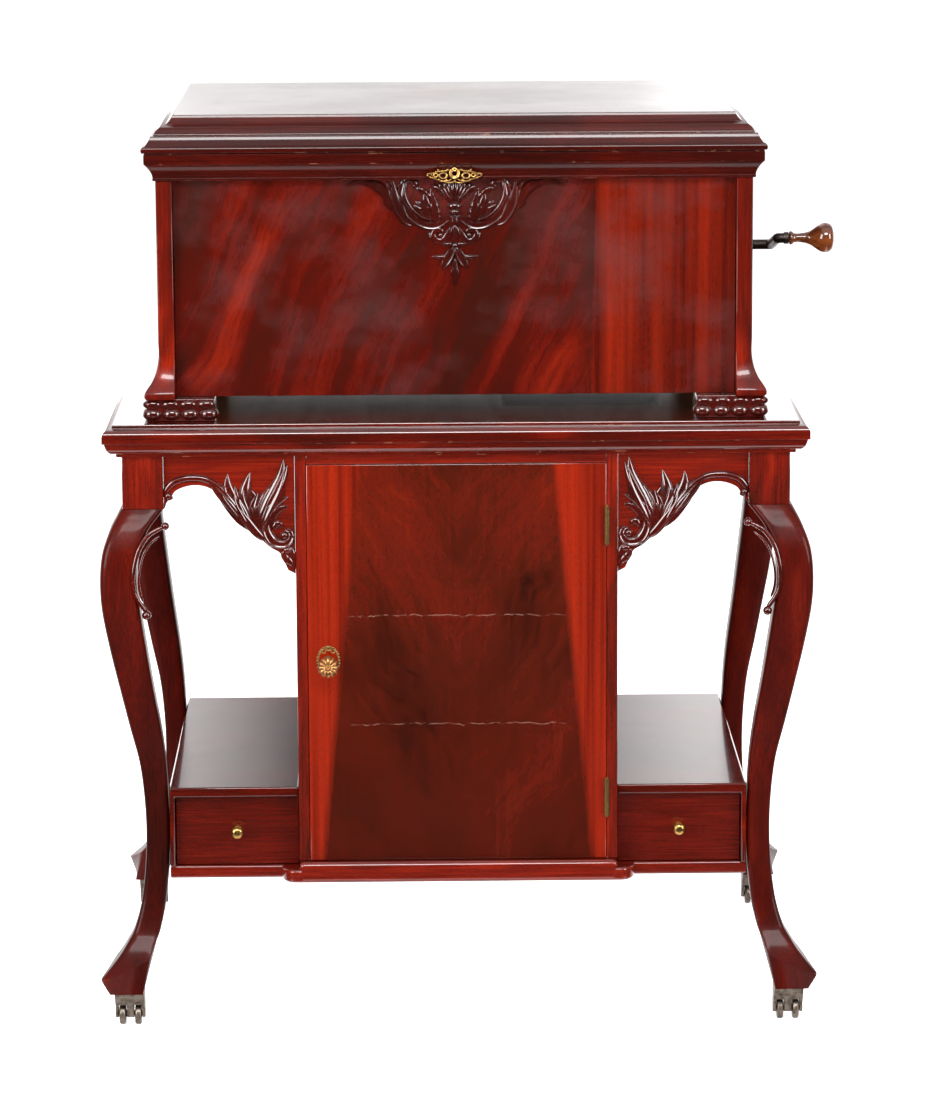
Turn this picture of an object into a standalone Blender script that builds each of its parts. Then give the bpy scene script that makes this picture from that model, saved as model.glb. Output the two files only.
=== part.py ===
"""Crank-wound disc phonograph on a matching record stand with cabriole legs.

Metres, Z up, front toward -Y, right side toward +X, floor at Z = 0.
Every separate physical piece is one closed object.
"""
import math

import bmesh
import bpy
from mathutils import Vector

# Overall sizes
STAND_WIDTH = 0.915
STAND_DEPTH = 0.600
STAND_HEIGHT = 0.810
CASE_WIDTH = 0.769
CASE_DEPTH = 0.500
CASE_HEIGHT = 0.318
LID_HEIGHT = 0.0465

# Stand
TOP_THICKNESS = 0.043
FIT = 0.0003
LEG_SETBACK = 0.0235
LEG_BLOCK = 0.0535
LEG_BLOCK_HEIGHT = 0.070
FOOT_Z = 0.050
RAIL_THICKNESS = 0.018
RAIL_REVEAL = 0.0065
CABINET_WIDTH = 0.420
CABINET_WALL = 0.014
CABINET_REVEAL = 0.028
DOOR_THICKNESS = 0.018
DOOR_GAP = 0.0006
HEADER_HEIGHT = 0.0134
BASE_TOP = 0.222
BASE_RAIL_TOP = 0.212
BASE_BOTTOM = 0.197
BASE_NOSE = 0.013
SHELF_TOP = 0.320
SHELF_THICKNESS = 0.013
SHELF_REVEAL = 0.038
DRAWER_REVEAL = 0.012
DRAWER_DEPTH = 0.400
DRAWER_WALL = 0.010
CHEEK = 0.007
KNOB_X_IN_DOOR = 0.0265
KNOB_Z = 0.490
LATCH_REACH = 0.033

# Casters
CASTER_WHEEL = 0.014
CASTER_TRAIL = 0.008
CASTER_HALF = 0.0195

# Upper case
CASE_SETBACK = 0.044
CASE_FOOT_HEIGHT = 0.030
CASE_WALL = 0.012
POST_WIDTH = 0.021
POST_DEPTH = 0.028
PANEL_REVEAL = 0.010
CORNICE_HEIGHT = 0.036
LID_WALL = 0.030
LID_SHELL = 0.016
HINGE_RADIUS = 0.0035
BOARD_DROP = 0.064
BOARD_THICKNESS = 0.012
STAY_RADIUS = 0.200

# Mechanism
PLATTER_RADIUS = 0.150
PLATTER_X = -0.020
PLATTER_BACK = 0.196
ARM_X = 0.175
ARM_BACK = 0.396
ARM_REACH = 0.258
CRANK_DROP = 0.148
CRANK_RADIUS = 0.007
CRANK_ARM = 0.110
CRANK_LIFT = math.radians(11.5)
GRIP_LENGTH = 0.060

# Derived planes
LEG_X = STAND_WIDTH / 2 - LEG_SETBACK
LEG_Y = STAND_DEPTH / 2 - LEG_SETBACK
UNDER_TOP = STAND_HEIGHT - TOP_THICKNESS
BLOCK_BOTTOM = UNDER_TOP - LEG_BLOCK_HEIGHT
FRONT = -STAND_DEPTH / 2
CABINET_FRONT = FRONT + CABINET_REVEAL
SHELF_FRONT = FRONT + SHELF_REVEAL
DRAWER_FRONT = SHELF_FRONT + DRAWER_REVEAL
BACK = -SHELF_FRONT
CASE_FRONT = FRONT + CASE_SETBACK
CASE_BACK = CASE_FRONT + CASE_DEPTH
CASE_BOTTOM = STAND_HEIGHT + CASE_FOOT_HEIGHT
SEAM = CASE_BOTTOM + CASE_HEIGHT
CASE_TOP = SEAM - CORNICE_HEIGHT
HALF_CASE = CASE_WIDTH / 2
HALF_CABINET = CABINET_WIDTH / 2
BOARD_TOP = SEAM - BOARD_DROP
BOARD_BOTTOM = BOARD_TOP - BOARD_THICKNESS
PLATTER_Y = CASE_FRONT + PLATTER_BACK
ARM_Y = CASE_FRONT + ARM_BACK
ARM_Z = BOARD_TOP + 0.056
CRANK_Z = SEAM - CRANK_DROP
HINGE_Y = CASE_BACK + 0.021
HINGE_Z = SEAM + 0.0005
GRIP_START = HALF_CASE + 0.0535
GRIP_END = GRIP_START + GRIP_LENGTH
TOE_REACH = 0.0384

# The crank stands out to the right, so the pieces shift left to centre the whole.
CENTRE = -(GRIP_END - (LEG_X + TOE_REACH)) / 2

# Leg sections: height between foot and block, outer offset from block, width.
LEG_CURVE = (
    (0.000, 0.0270, 0.048),
    (0.012, 0.0330, 0.054),
    (0.036, 0.0384, 0.058),
    (0.054, 0.0270, 0.049),
    (0.076, 0.0144, 0.042),
    (0.098, 0.0050, 0.0375),
    (0.122, -0.0036, 0.035),
    (0.173, -0.0129, 0.0326),
    (0.244, -0.0188, 0.0315),
    (0.320, -0.0209, 0.0313),
    (0.394, -0.0193, 0.0320),
    (0.470, -0.0140, 0.0350),
    (0.544, -0.0035, 0.0405),
    (0.634, 0.0088, 0.0443),
    (0.717, 0.0197, 0.0480),
    (0.799, 0.0283, 0.0500),
    (0.861, 0.0299, 0.0480),
    (0.915, 0.0264, 0.0480),
    (0.958, 0.0168, 0.0500),
    (0.985, 0.0080, 0.0545),
    (1.000, 0.0026, 0.0575),
)

# Front rail arch: distance from the leg block and height below the top.
ARCH = (
    (0.0000, 0.067),
    (0.0095, 0.055),
    (0.0170, 0.046),
    (0.0350, 0.040),
    (0.0540, 0.0415),
    (0.0730, 0.052),
    (0.0880, 0.0695),
    (0.1050, 0.0895),
    (0.1215, 0.107),
    (0.1370, 0.122),
    (0.1500, 0.130),
    (0.1560, 0.142),
    (0.1610, 0.153),
)


def clear_scene():
    for item in list(bpy.data.objects):
        bpy.data.objects.remove(item, do_unlink=True)


FINISHES = {
    "mahogany": ((0.16, 0.028, 0.012), 0.22, 0.0),
    "dark_mahogany": ((0.09, 0.018, 0.010), 0.25, 0.0),
    "carved_mahogany": ((0.11, 0.020, 0.011), 0.3, 0.0),
    "deal": ((0.42, 0.25, 0.12), 0.55, 0.0),
    "brass": ((0.72, 0.52, 0.22), 0.28, 1.0),
    "bronze": ((0.12, 0.10, 0.08), 0.4, 1.0),
    "iron": ((0.06, 0.06, 0.065), 0.45, 1.0),
    "steel": ((0.55, 0.56, 0.58), 0.3, 1.0),
    "felt": ((0.03, 0.10, 0.05), 0.9, 0.0),
    "fruitwood": ((0.35, 0.11, 0.03), 0.3, 0.0),
}


def material_for(name, finish):
    colour, roughness, metallic = FINISHES[finish]
    material = bpy.data.materials.new(name + "_" + finish)
    material.use_nodes = True
    shader = material.node_tree.nodes["Principled BSDF"]
    shader.inputs["Base Color"].default_value = (*colour, 1.0)
    shader.inputs["Roughness"].default_value = roughness
    shader.inputs["Metallic"].default_value = metallic
    return material


def make(name, mesh, finish, origin=(0.0, 0.0, 0.0)):
    bmesh.ops.recalc_face_normals(mesh, faces=mesh.faces)
    bmesh.ops.translate(mesh, verts=mesh.verts, vec=[-value for value in origin])
    data = bpy.data.meshes.new(name)
    mesh.to_mesh(data)
    mesh.free()
    data.materials.append(material_for(name, finish))
    item = bpy.data.objects.new(name, data)
    item.location = (origin[0] + CENTRE, origin[1], origin[2])
    bpy.context.scene.collection.objects.link(item)
    return item


def join_loops(mesh, loops, closed=False, capped=True):
    count = len(loops[0])
    pairs = len(loops) if closed else len(loops) - 1
    for index in range(pairs):
        low = loops[index]
        high = loops[(index + 1) % len(loops)]
        for side in range(count):
            after = (side + 1) % count
            mesh.faces.new((low[side], low[after], high[after], high[side]))
    if capped and not closed:
        mesh.faces.new(loops[0])
        mesh.faces.new(loops[-1])


def stack(sections, closed=False):
    mesh = bmesh.new()
    loops = []
    for x0, x1, y0, y1, z in sections:
        corners = ((x0, y0), (x1, y0), (x1, y1), (x0, y1))
        loops.append([mesh.verts.new((x, y, z)) for x, y in corners])
    join_loops(mesh, loops, closed)
    return mesh


def block(x0, x1, y0, y1, z0, z1):
    return stack(((x0, x1, y0, y1, z0), (x0, x1, y0, y1, z1)))


def moulded(base, profile):
    x0, x1, y0, y1 = base
    return [(x0 - out, x1 + out, y0 - out, y1 + out, z) for out, z in profile]


def placed(axis, along, first, second):
    if axis == "X":
        return (along, first, second)
    if axis == "Y":
        return (first, along, second)
    return (first, second, along)


def prism(points, axis, start, end):
    mesh = bmesh.new()
    loops = []
    for along in (start, end):
        loops.append([mesh.verts.new(placed(axis, along, a, b)) for a, b in points])
    join_loops(mesh, loops)
    return mesh


def turned(profile, axis, centre, steps=24):
    mesh = bmesh.new()
    cx, cy, cz = centre
    rings = []
    for along, radius in profile:
        if radius < 1e-6:
            offset = placed(axis, along, 0.0, 0.0)
            rings.append([mesh.verts.new((cx + offset[0], cy + offset[1], cz + offset[2]))])
            continue
        ring = []
        for step in range(steps):
            angle = 2 * math.pi * step / steps
            offset = placed(axis, along, radius * math.cos(angle), radius * math.sin(angle))
            ring.append(mesh.verts.new((cx + offset[0], cy + offset[1], cz + offset[2])))
        rings.append(ring)
    for low, high in zip(rings, rings[1:]):
        skin(mesh, low, high)
    if len(rings[0]) > 1 and len(rings[-1]) > 1:
        skin(mesh, rings[-1], rings[0])
    return mesh


def bore(start, end, radius, axis, centre, steps=16):
    profile = ((start, 0.0), (start, radius), (end, radius), (end, 0.0))
    return turned(profile, axis, centre, steps)


def skin(mesh, low, high):
    count = max(len(low), len(high))
    for side in range(count):
        after = (side + 1) % count
        if len(low) == 1:
            mesh.faces.new((low[0], high[after], high[side]))
        elif len(high) == 1:
            mesh.faces.new((low[side], low[after], high[0]))
        else:
            mesh.faces.new((low[side], low[after], high[after], high[side]))


def swept(path, radii, sides=12):
    mesh = bmesh.new()
    points = [Vector(point) for point in path]
    loops = []
    up = None
    for index, here in enumerate(points):
        coming = (here - points[index - 1]).normalized() if index else None
        going = (points[index + 1] - here).normalized() if index + 1 < len(points) else None
        tangent = ((coming or going) + (going or coming)).normalized()
        if up is None:
            up = Vector((0.0, 0.0, 1.0)) if abs(tangent.z) < 0.9 else Vector((1.0, 0.0, 0.0))
        side = tangent.cross(up).normalized()
        up = side.cross(tangent)
        bend = (going or coming) - (coming or going)
        stretch = 1.0 / max(0.6, tangent.dot(going or coming)) - 1.0
        bend = bend.normalized() if bend.length > 1e-5 else Vector((0.0, 0.0, 0.0))
        ring = []
        for step in range(sides):
            angle = 2 * math.pi * step / sides
            reach = (side * math.cos(angle) + up * math.sin(angle)) * radii[index]
            ring.append(mesh.verts.new(here + reach + bend * reach.dot(bend) * stretch))
        loops.append(ring)
    join_loops(mesh, loops)
    return mesh


def carve(item, cutters, operation="DIFFERENCE"):
    for number, mesh in enumerate(cutters):
        bmesh.ops.recalc_face_normals(mesh, faces=mesh.faces)
        data = bpy.data.meshes.new(item.name + "_cutter")
        mesh.to_mesh(data)
        mesh.free()
        cutter = bpy.data.objects.new(item.name + "_cutter_" + str(number), data)
        cutter.location = (CENTRE, 0.0, 0.0)
        cutter.hide_render = True
        cutter.display_type = "WIRE"
        bpy.context.scene.collection.objects.link(cutter)
        boolean = item.modifiers.new("cut_" + str(number), "BOOLEAN")
        boolean.operation = operation
        boolean.solver = "EXACT"
        boolean.object = cutter


def span(side, inner, outer):
    return (min(side * inner, side * outer), max(side * inner, side * outer))


SIDES = (("left", -1), ("right", 1))
ENDS = (("front", -1), ("rear", 1))


def leg_inner(low, high):
    closest = None
    for part, offset, width in LEG_CURVE:
        z = FOOT_Z + part * (BLOCK_BOTTOM - FOOT_Z)
        if low - 0.05 <= z <= high + 0.05:
            inner = LEG_X + offset - width
            closest = inner if closest is None else min(closest, inner)
    return closest


BAY_OUTER = leg_inner(BASE_BOTTOM, SHELF_TOP) - 0.0004


def build_stand_top():
    base = (-STAND_WIDTH / 2, STAND_WIDTH / 2, -STAND_DEPTH / 2, STAND_DEPTH / 2)
    edge = (
        (-0.017, 0.0), (-0.017, 0.0035), (-0.009, 0.0065), (-0.004, 0.0130), (-0.0025, 0.0195),
        (0.0, 0.0200), (0.0, 0.0290), (-0.001, 0.0305), (-0.004, 0.0350), (-0.009, 0.0385),
        (-0.0125, 0.0390), (-0.0125, TOP_THICKNESS),
    )
    profile = [(out, UNDER_TOP + z) for out, z in edge]
    make("stand_top", stack(moulded(base, profile)), "mahogany")


def build_legs():
    for end_name, end in ENDS:
        for side_name, side in SIDES:
            sections = []
            for part, offset, width in LEG_CURVE:
                z = FOOT_Z + part * (BLOCK_BOTTOM - FOOT_Z)
                sections.append(leg_section(side, end, offset, width, z))
            for z in (BLOCK_BOTTOM, UNDER_TOP - FIT):
                sections.append(leg_section(side, end, 0.0, LEG_BLOCK, z))
            make("leg_" + end_name + "_" + side_name, stack(sections), "mahogany")


def leg_section(side, end, offset, width, z):
    x0, x1 = span(side, LEG_X + offset - width, LEG_X + offset)
    y0, y1 = span(end, LEG_Y + offset - width, LEG_Y + offset)
    return (x0, x1, y0, y1, z)


def build_aprons():
    top = UNDER_TOP - FIT
    outer = LEG_X - LEG_BLOCK - FIT
    inner = HALF_CABINET + FIT
    reach = (outer - inner) / 0.1705
    face = -LEG_Y + RAIL_REVEAL
    for name, side in SIDES:
        points = [(side * outer, top)]
        for step, depth in ARCH:
            points.append((side * (outer - step * reach), top - depth))
        points.append((side * inner, top - 0.158))
        points.append((side * inner, top))
        make("apron_front_" + name, prism(points, "Y", face, face + RAIL_THICKNESS), "carved_mahogany")
    rear = LEG_Y
    points = arched_rail(-outer, outer, top)
    start = max(BACK + FIT, rear - RAIL_THICKNESS)
    make("apron_rear", prism(points, "Y", start, rear), "mahogany")
    end = LEG_Y - LEG_BLOCK - FIT
    face = LEG_X - RAIL_REVEAL
    for name, side in SIDES:
        x0, x1 = span(side, face - RAIL_THICKNESS, face)
        make("apron_side_" + name, prism(arched_rail(-end, end, top), "X", x0, x1), "mahogany")


def arched_rail(start, end, top):
    points = [(start, top)]
    for step in range(17):
        part = step / 16
        depth = 0.036 + 0.030 * abs(2 * part - 1) ** 4
        points.append((start + (end - start) * part, top - depth))
    points.append((end, top))
    return points


def build_cabinet():
    for name, side in SIDES:
        x0, x1 = span(side, HALF_CABINET - CABINET_WALL, HALF_CABINET)
        panel = make(
            "cabinet_side_" + name,
            block(x0, x1, CABINET_FRONT, BACK, BASE_TOP + FIT, UNDER_TOP - FIT),
            "mahogany",
        )
        if side < 0:
            depth = CABINET_FRONT + DOOR_THICKNESS
            slot = block(x0 + 0.003, x1 + 0.01, depth, depth + 0.017, KNOB_Z - 0.014, KNOB_Z + 0.040)
            carve(panel, [slot])
    inner = HALF_CABINET - CABINET_WALL - FIT
    make(
        "cabinet_back",
        block(-inner, inner, BACK - 0.014, BACK, BASE_TOP + FIT, UNDER_TOP - FIT),
        "dark_mahogany",
    )
    make(
        "door_header",
        block(
            -inner, inner, CABINET_FRONT, CABINET_FRONT + DOOR_THICKNESS,
            UNDER_TOP - HEADER_HEIGHT, UNDER_TOP - FIT,
        ),
        "mahogany",
    )


def build_base():
    rail = -SHELF_FRONT - 0.006
    cove = HALF_CABINET + 0.024
    plan = [(-BAY_OUTER, -rail), (-cove, -rail)]
    nose = CABINET_FRONT - BASE_NOSE
    for step in range(1, 6):
        angle = math.pi / 2 * step / 5
        plan.append((
            -cove + 0.020 * (1 - math.cos(angle)),
            -rail + (nose + rail) * math.sin(angle),
        ))
    plan += [(-x, y) for x, y in reversed(plan)]
    plan += [(BAY_OUTER, BACK), (-BAY_OUTER, BACK)]
    board = make("base_board", prism(plan, "Z", BASE_BOTTOM, BASE_RAIL_TOP), "mahogany")
    middle = block(-HALF_CABINET, HALF_CABINET, nose, BACK, BASE_BOTTOM + 0.003, BASE_TOP)
    carve(board, [middle], "UNION")


def build_shelves():
    low = SHELF_TOP - SHELF_THICKNESS
    for name, side in SIDES:
        inner = side * (HALF_CABINET + FIT)
        outer = side * (BAY_OUTER - 0.0002)
        cheek = side * (BAY_OUTER - 0.0002 - CHEEK)
        foot = BASE_RAIL_TOP + FIT
        points = [(inner, low), (cheek, low), (cheek, foot), (outer, foot)]
        points += [(outer, SHELF_TOP), (inner, SHELF_TOP)]
        make("side_shelf_" + name, prism(points, "Y", SHELF_FRONT, BACK), "mahogany")


def build_rack():
    inner = HALF_CABINET - CABINET_WALL - 0.0006
    floor = BASE_TOP + FIT
    high = floor + 0.300
    points = [(-inner, floor), (inner, floor)]
    for step in range(4, -1, -1):
        at = -inner + 2 * inner * step / 4
        right = min(at + 0.003, inner)
        left = max(at - 0.003, -inner)
        points += [(right, floor + 0.008)] if step < 4 else []
        points += [(right, high), (left, high)]
        points += [(left, floor + 0.008)] if step > 0 else []
    front = CABINET_FRONT + DOOR_THICKNESS + 0.030
    make("record_rack", prism(points, "Y", front, BACK - 0.0146), "deal")


def door_axis():
    return (HALF_CABINET - CABINET_WALL - 0.0002, CABINET_FRONT - 0.004)


def build_door():
    half = HALF_CABINET - CABINET_WALL - DOOR_GAP
    low = BASE_TOP + DOOR_GAP
    high = UNDER_TOP - HEADER_HEIGHT - DOOR_GAP
    axis_x, axis_y = door_axis()
    door = make(
        "door",
        block(-half, half, CABINET_FRONT, CABINET_FRONT + DOOR_THICKNESS, low, high),
        "mahogany",
        (axis_x, axis_y, (low + high) / 2),
    )
    knob_x = -half + KNOB_X_IN_DOOR
    hole = bore(CABINET_FRONT - 0.01, CABINET_FRONT + 0.03, 0.0045, "Y", (knob_x, 0.0, KNOB_Z))
    carve(door, [hole])
    for name, z in (("upper", high - 0.082), ("lower", low + 0.084)):
        profile = ((-0.0275, 0.0), (-0.0275, 0.0036), (0.0275, 0.0036), (0.0275, 0.0))
        barrel = turned(profile, "Z", (axis_x, axis_y, z), 12)
        make("door_hinge_" + name, barrel, "brass")
    build_knob(knob_x)


def build_knob(knob_x):
    face = CABINET_FRONT
    behind = face + DOOR_THICKNESS + 0.0006
    profile = (
        (face - 0.034, 0.0), (face - 0.034, 0.006), (face - 0.031, 0.0135), (face - 0.027, 0.014),
        (face - 0.023, 0.010), (face - 0.016, 0.0055), (face - 0.006, 0.006), (face - 0.0006, 0.010),
        (face - 0.0006, 0.004), (behind + 0.011, 0.004), (behind + 0.011, 0.0),
    )
    origin = (knob_x, face - 0.010, KNOB_Z)
    knob = make("door_knob", turned(profile, "Y", (knob_x, 0.0, KNOB_Z), 16), "brass", origin)
    tongue = block(
        knob_x - 0.005, knob_x + 0.005, behind + 0.002, behind + 0.009, KNOB_Z - 0.005, KNOB_Z + LATCH_REACH,
    )
    carve(knob, [tongue], "UNION")


def build_drawers():
    outer = BAY_OUTER - CHEEK - 0.0012
    inner = HALF_CABINET + 0.0009
    low = BASE_RAIL_TOP + 0.0006
    high = SHELF_TOP - SHELF_THICKNESS - 0.001
    for name, side in SIDES:
        x0, x1 = span(side, inner, outer)
        y0 = DRAWER_FRONT
        y1 = DRAWER_FRONT + DRAWER_DEPTH
        front = DRAWER_WALL + 0.006
        cavity = (x0 + DRAWER_WALL, x1 - DRAWER_WALL, y0 + front, y1 - DRAWER_WALL)
        sections = (
            (*cavity, low + 0.006), (*cavity, high), (x0, x1, y0, y1, high), (x0, x1, y0, y1, low),
        )
        middle = ((x0 + x1) / 2, y0, (low + high) / 2)
        make("drawer_" + name, stack(sections), "mahogany", middle)
        profile = (
            (y0 - 0.0215, 0.0), (y0 - 0.0205, 0.005), (y0 - 0.018, 0.0075), (y0 - 0.014, 0.0078),
            (y0 - 0.011, 0.0045), (y0 - 0.005, 0.0035), (y0 - 0.0003, 0.0055), (y0 - 0.0003, 0.0),
        )
        knob = turned(profile, "Y", (middle[0], 0.0, middle[2]), 16)
        make("drawer_knob_" + name, knob, "brass", middle)


def build_casters():
    for end_name, end in ENDS:
        for side_name, side in SIDES:
            x = side * (LEG_X + 0.003)
            y = end * (LEG_Y + 0.003)
            build_caster(end_name + "_" + side_name, x, y)


def build_caster(name, x, y):
    top = FOOT_Z - FIT
    axle = y + CASTER_TRAIL
    points = [(y - 0.015, top), (y - 0.015, top - 0.005)]
    points += [(axle - 0.009, 0.024), (axle - 0.007, 0.011), (axle + 0.005, 0.008), (axle + 0.010, 0.014)]
    points += [(y + 0.019, 0.030), (y + 0.018, top - 0.005), (y + 0.015, top)]
    origin = (x, y, top)
    body = prism(points, "X", x - CASTER_HALF, x + CASTER_HALF)
    horn = make("caster_horn_" + name, body, "bronze", origin)
    cutters = []
    for side in (-1, 1):
        x0, x1 = span(side, 0.0048, 0.0158)
        cutters.append(block(x + x0, x + x1, y - 0.05, y + 0.05, -0.01, 2 * CASTER_WHEEL + 0.0012))
    cutters.append(bore(x - 0.03, x + 0.03, 0.0034, "X", (0.0, axle, CASTER_WHEEL), 12))
    carve(horn, cutters)
    disc = CASTER_WHEEL
    profile = (
        (-0.0195, 0.0), (-0.0195, 0.003), (-0.0152, 0.003), (-0.0152, disc - 0.001), (-0.0142, disc),
        (-0.0065, disc), (-0.0055, disc - 0.001), (-0.0055, 0.003), (0.0055, 0.003), (0.0055, disc - 0.001),
        (0.0065, disc), (0.0142, disc), (0.0152, disc - 0.001), (0.0152, 0.003), (0.0195, 0.003),
        (0.0195, 0.0),
    )
    wheels = turned([(x + along, radius) for along, radius in profile], "X", (0.0, axle, CASTER_WHEEL), 20)
    make("caster_wheels_" + name, wheels, "bronze", (x, axle, CASTER_WHEEL))


def build_case():
    inner = HALF_CASE - CASE_WALL - 0.0014
    post = HALF_CASE - POST_WIDTH
    low = CASE_BOTTOM
    floor = CASE_BOTTOM + 0.012
    front = CASE_FRONT + PANEL_REVEAL
    behind = CASE_FRONT + POST_DEPTH + FIT
    back = CASE_BACK - CASE_WALL
    opening = (ARM_X - 0.109, ARM_X + 0.109, back - 0.205, back - 0.028)
    outer = (-inner + FIT, inner - FIT, behind, back - FIT)
    sections = ((*outer, low), (*outer, floor), (*opening, floor), (*opening, low))
    make("case_bottom", stack(sections, closed=True), "deal")
    make(
        "case_front",
        block(-post + FIT, post - FIT, front, front + CASE_WALL, low, CASE_TOP - FIT),
        "mahogany",
    )
    for name, side in SIDES:
        x0, x1 = span(side, inner, HALF_CASE - 0.0014)
        panel = make(
            "case_side_" + name,
            block(x0, x1, behind, CASE_BACK, low, CASE_TOP - FIT),
            "mahogany",
        )
        if side > 0:
            centre = (0.0, PLATTER_Y, CRANK_Z)
            carve(panel, [bore(x0 - 0.02, x1 + 0.02, CRANK_RADIUS + 0.0008, "X", centre, 24)])
    make(
        "case_back",
        block(-inner + FIT, inner - FIT, back, CASE_BACK, low, CASE_TOP - FIT),
        "dark_mahogany",
    )
    build_posts(post)
    build_case_feet()


def build_posts(post):
    flare = (
        (0.0, 0.0175), (0.006, 0.0180), (0.012, 0.0150), (0.019, 0.0100), (0.028, 0.0055),
        (0.040, 0.0018), (0.055, -0.0005), (0.072, 0.0), (0.085, 0.0),
    )
    top = CASE_TOP - FIT
    for name, side in SIDES:
        sections = []
        for z, out in flare + ((top - CASE_BOTTOM, 0.0),):
            x0, x1 = span(side, post, HALF_CASE + out)
            sections.append((x0, x1, CASE_FRONT - out, CASE_FRONT + POST_DEPTH, CASE_BOTTOM + z))
        make("corner_post_" + name, stack(sections), "mahogany")


def build_case_feet():
    middle = (CASE_FRONT + CASE_BACK) / 2
    reach = CASE_DEPTH / 2
    heights = (
        (0.0, -0.004), (0.004, 0.0), (0.013, 0.0005), (0.017, -0.0035), (0.024, -0.0015),
        (CASE_FOOT_HEIGHT - 2 * FIT, -0.003),
    )
    for end_name, end in ENDS:
        for side_name, side in SIDES:
            sections = []
            for z, out in heights:
                inward = HALF_CASE - 0.0775 + (0.0292 - z) * 0.12 - out / 2
                x0, x1 = span(side, inward, HALF_CASE + 0.0215 + out)
                y0, y1 = span(end, reach - 0.066, reach + 0.0135 + out)
                sections.append((x0, x1, middle + y0, middle + y1, STAND_HEIGHT + FIT + z))
            make("carved_foot_" + end_name + "_" + side_name, stack(sections), "carved_mahogany")


def build_cornice():
    base = (-HALF_CASE, HALF_CASE, CASE_FRONT, CASE_BACK)
    outer = (
        (0.003, 0.0), (0.0032, 0.003), (0.0045, 0.008), (0.0075, 0.015), (0.0110, 0.0205),
        (0.0138, 0.024), (0.0138, CORNICE_HEIGHT),
    )
    profile = [(out, CASE_TOP + z) for out, z in outer]
    profile += [(-CASE_WALL - 0.0014, SEAM), (-CASE_WALL - 0.0014, CASE_TOP)]
    make("cornice", stack(moulded(base, profile), closed=True), "dark_mahogany")
    points = ((-0.0026, -0.0055), (-0.0076, 0.0135), (-0.0096, 0.0135), (-0.0046, -0.0055))
    plate = [(CASE_FRONT + y, CASE_TOP + z) for y, z in points]
    make("lock_escutcheon", prism(plate, "X", -0.034, 0.034), "brass")


def build_lid():
    base = (-HALF_CASE, HALF_CASE, CASE_FRONT, CASE_BACK)
    outer = (
        (0.0145, 0.0006), (0.0168, 0.0024), (0.0170, 0.0070), (0.0150, 0.0088), (0.0097, 0.0130),
        (0.0058, 0.0190), (0.0048, 0.0218), (0.0013, 0.0222), (0.0, 0.0252), (-0.0019, 0.0287),
        (-0.0058, 0.0318), (-0.0129, 0.0354), (-0.0180, 0.0392), (-0.0213, 0.0430), (-0.0225, LID_HEIGHT),
    )
    cavity = SEAM + LID_HEIGHT - LID_SHELL
    profile = [(-LID_WALL, cavity), (-LID_WALL, SEAM + 0.0006)]
    profile += [(out, SEAM + z) for out, z in outer]
    origin = (0.0, HINGE_Y, HINGE_Z)
    make("lid", stack(moulded(base, profile)), "dark_mahogany", origin)
    build_stay(origin)
    build_lid_hinge()


def build_stay(origin):
    x1 = HALF_CASE - LID_WALL - 0.0006
    points = []
    for radius, order in ((STAY_RADIUS - 0.004, range(21)), (STAY_RADIUS + 0.004, range(20, -1, -1))):
        for step in order:
            angle = math.radians(-6 + 84 * step / 20)
            points.append((HINGE_Y - radius * math.cos(angle), HINGE_Z - radius * math.sin(angle)))
    make("lid_stay", prism(points, "X", x1 - 0.003, x1), "brass", origin)


def build_lid_hinge():
    leaf = ((-0.0069, -0.021), (-0.0050, -0.021), (-0.0050, -0.006))
    points = [(HINGE_Y + y, HINGE_Z + z) for y, z in leaf]
    for step in range(13):
        angle = math.radians(-110 + 300 * step / 12)
        points.append((HINGE_Y + HINGE_RADIUS * math.cos(angle), HINGE_Z + HINGE_RADIUS * math.sin(angle)))
    points.append((HINGE_Y - 0.0069, HINGE_Z - 0.0035))
    make("lid_hinge", prism(points, "X", -0.300, 0.300), "brass")


def build_motor_board():
    half = HALF_CASE - CASE_WALL - 0.0014 - FIT
    front = CASE_FRONT + POST_DEPTH + FIT
    back = CASE_BACK - CASE_WALL - FIT
    notch = HALF_CASE - LID_WALL - 0.006
    plan = (
        (-half, front), (half, front), (half, HINGE_Y - STAY_RADIUS - 0.012),
        (notch, HINGE_Y - STAY_RADIUS - 0.012), (notch, back), (-half, back),
    )
    board = make("motor_board", prism(plan, "Z", BOARD_BOTTOM, BOARD_TOP), "dark_mahogany")
    cutters = []
    for x, y, radius in ((PLATTER_X, PLATTER_Y, 0.0046), (ARM_X, ARM_Y, 0.014)):
        cutters.append(bore(BOARD_BOTTOM - 0.02, BOARD_TOP + 0.02, radius, "Z", (x, y, 0.0), 20))
    carve(board, cutters)


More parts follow.
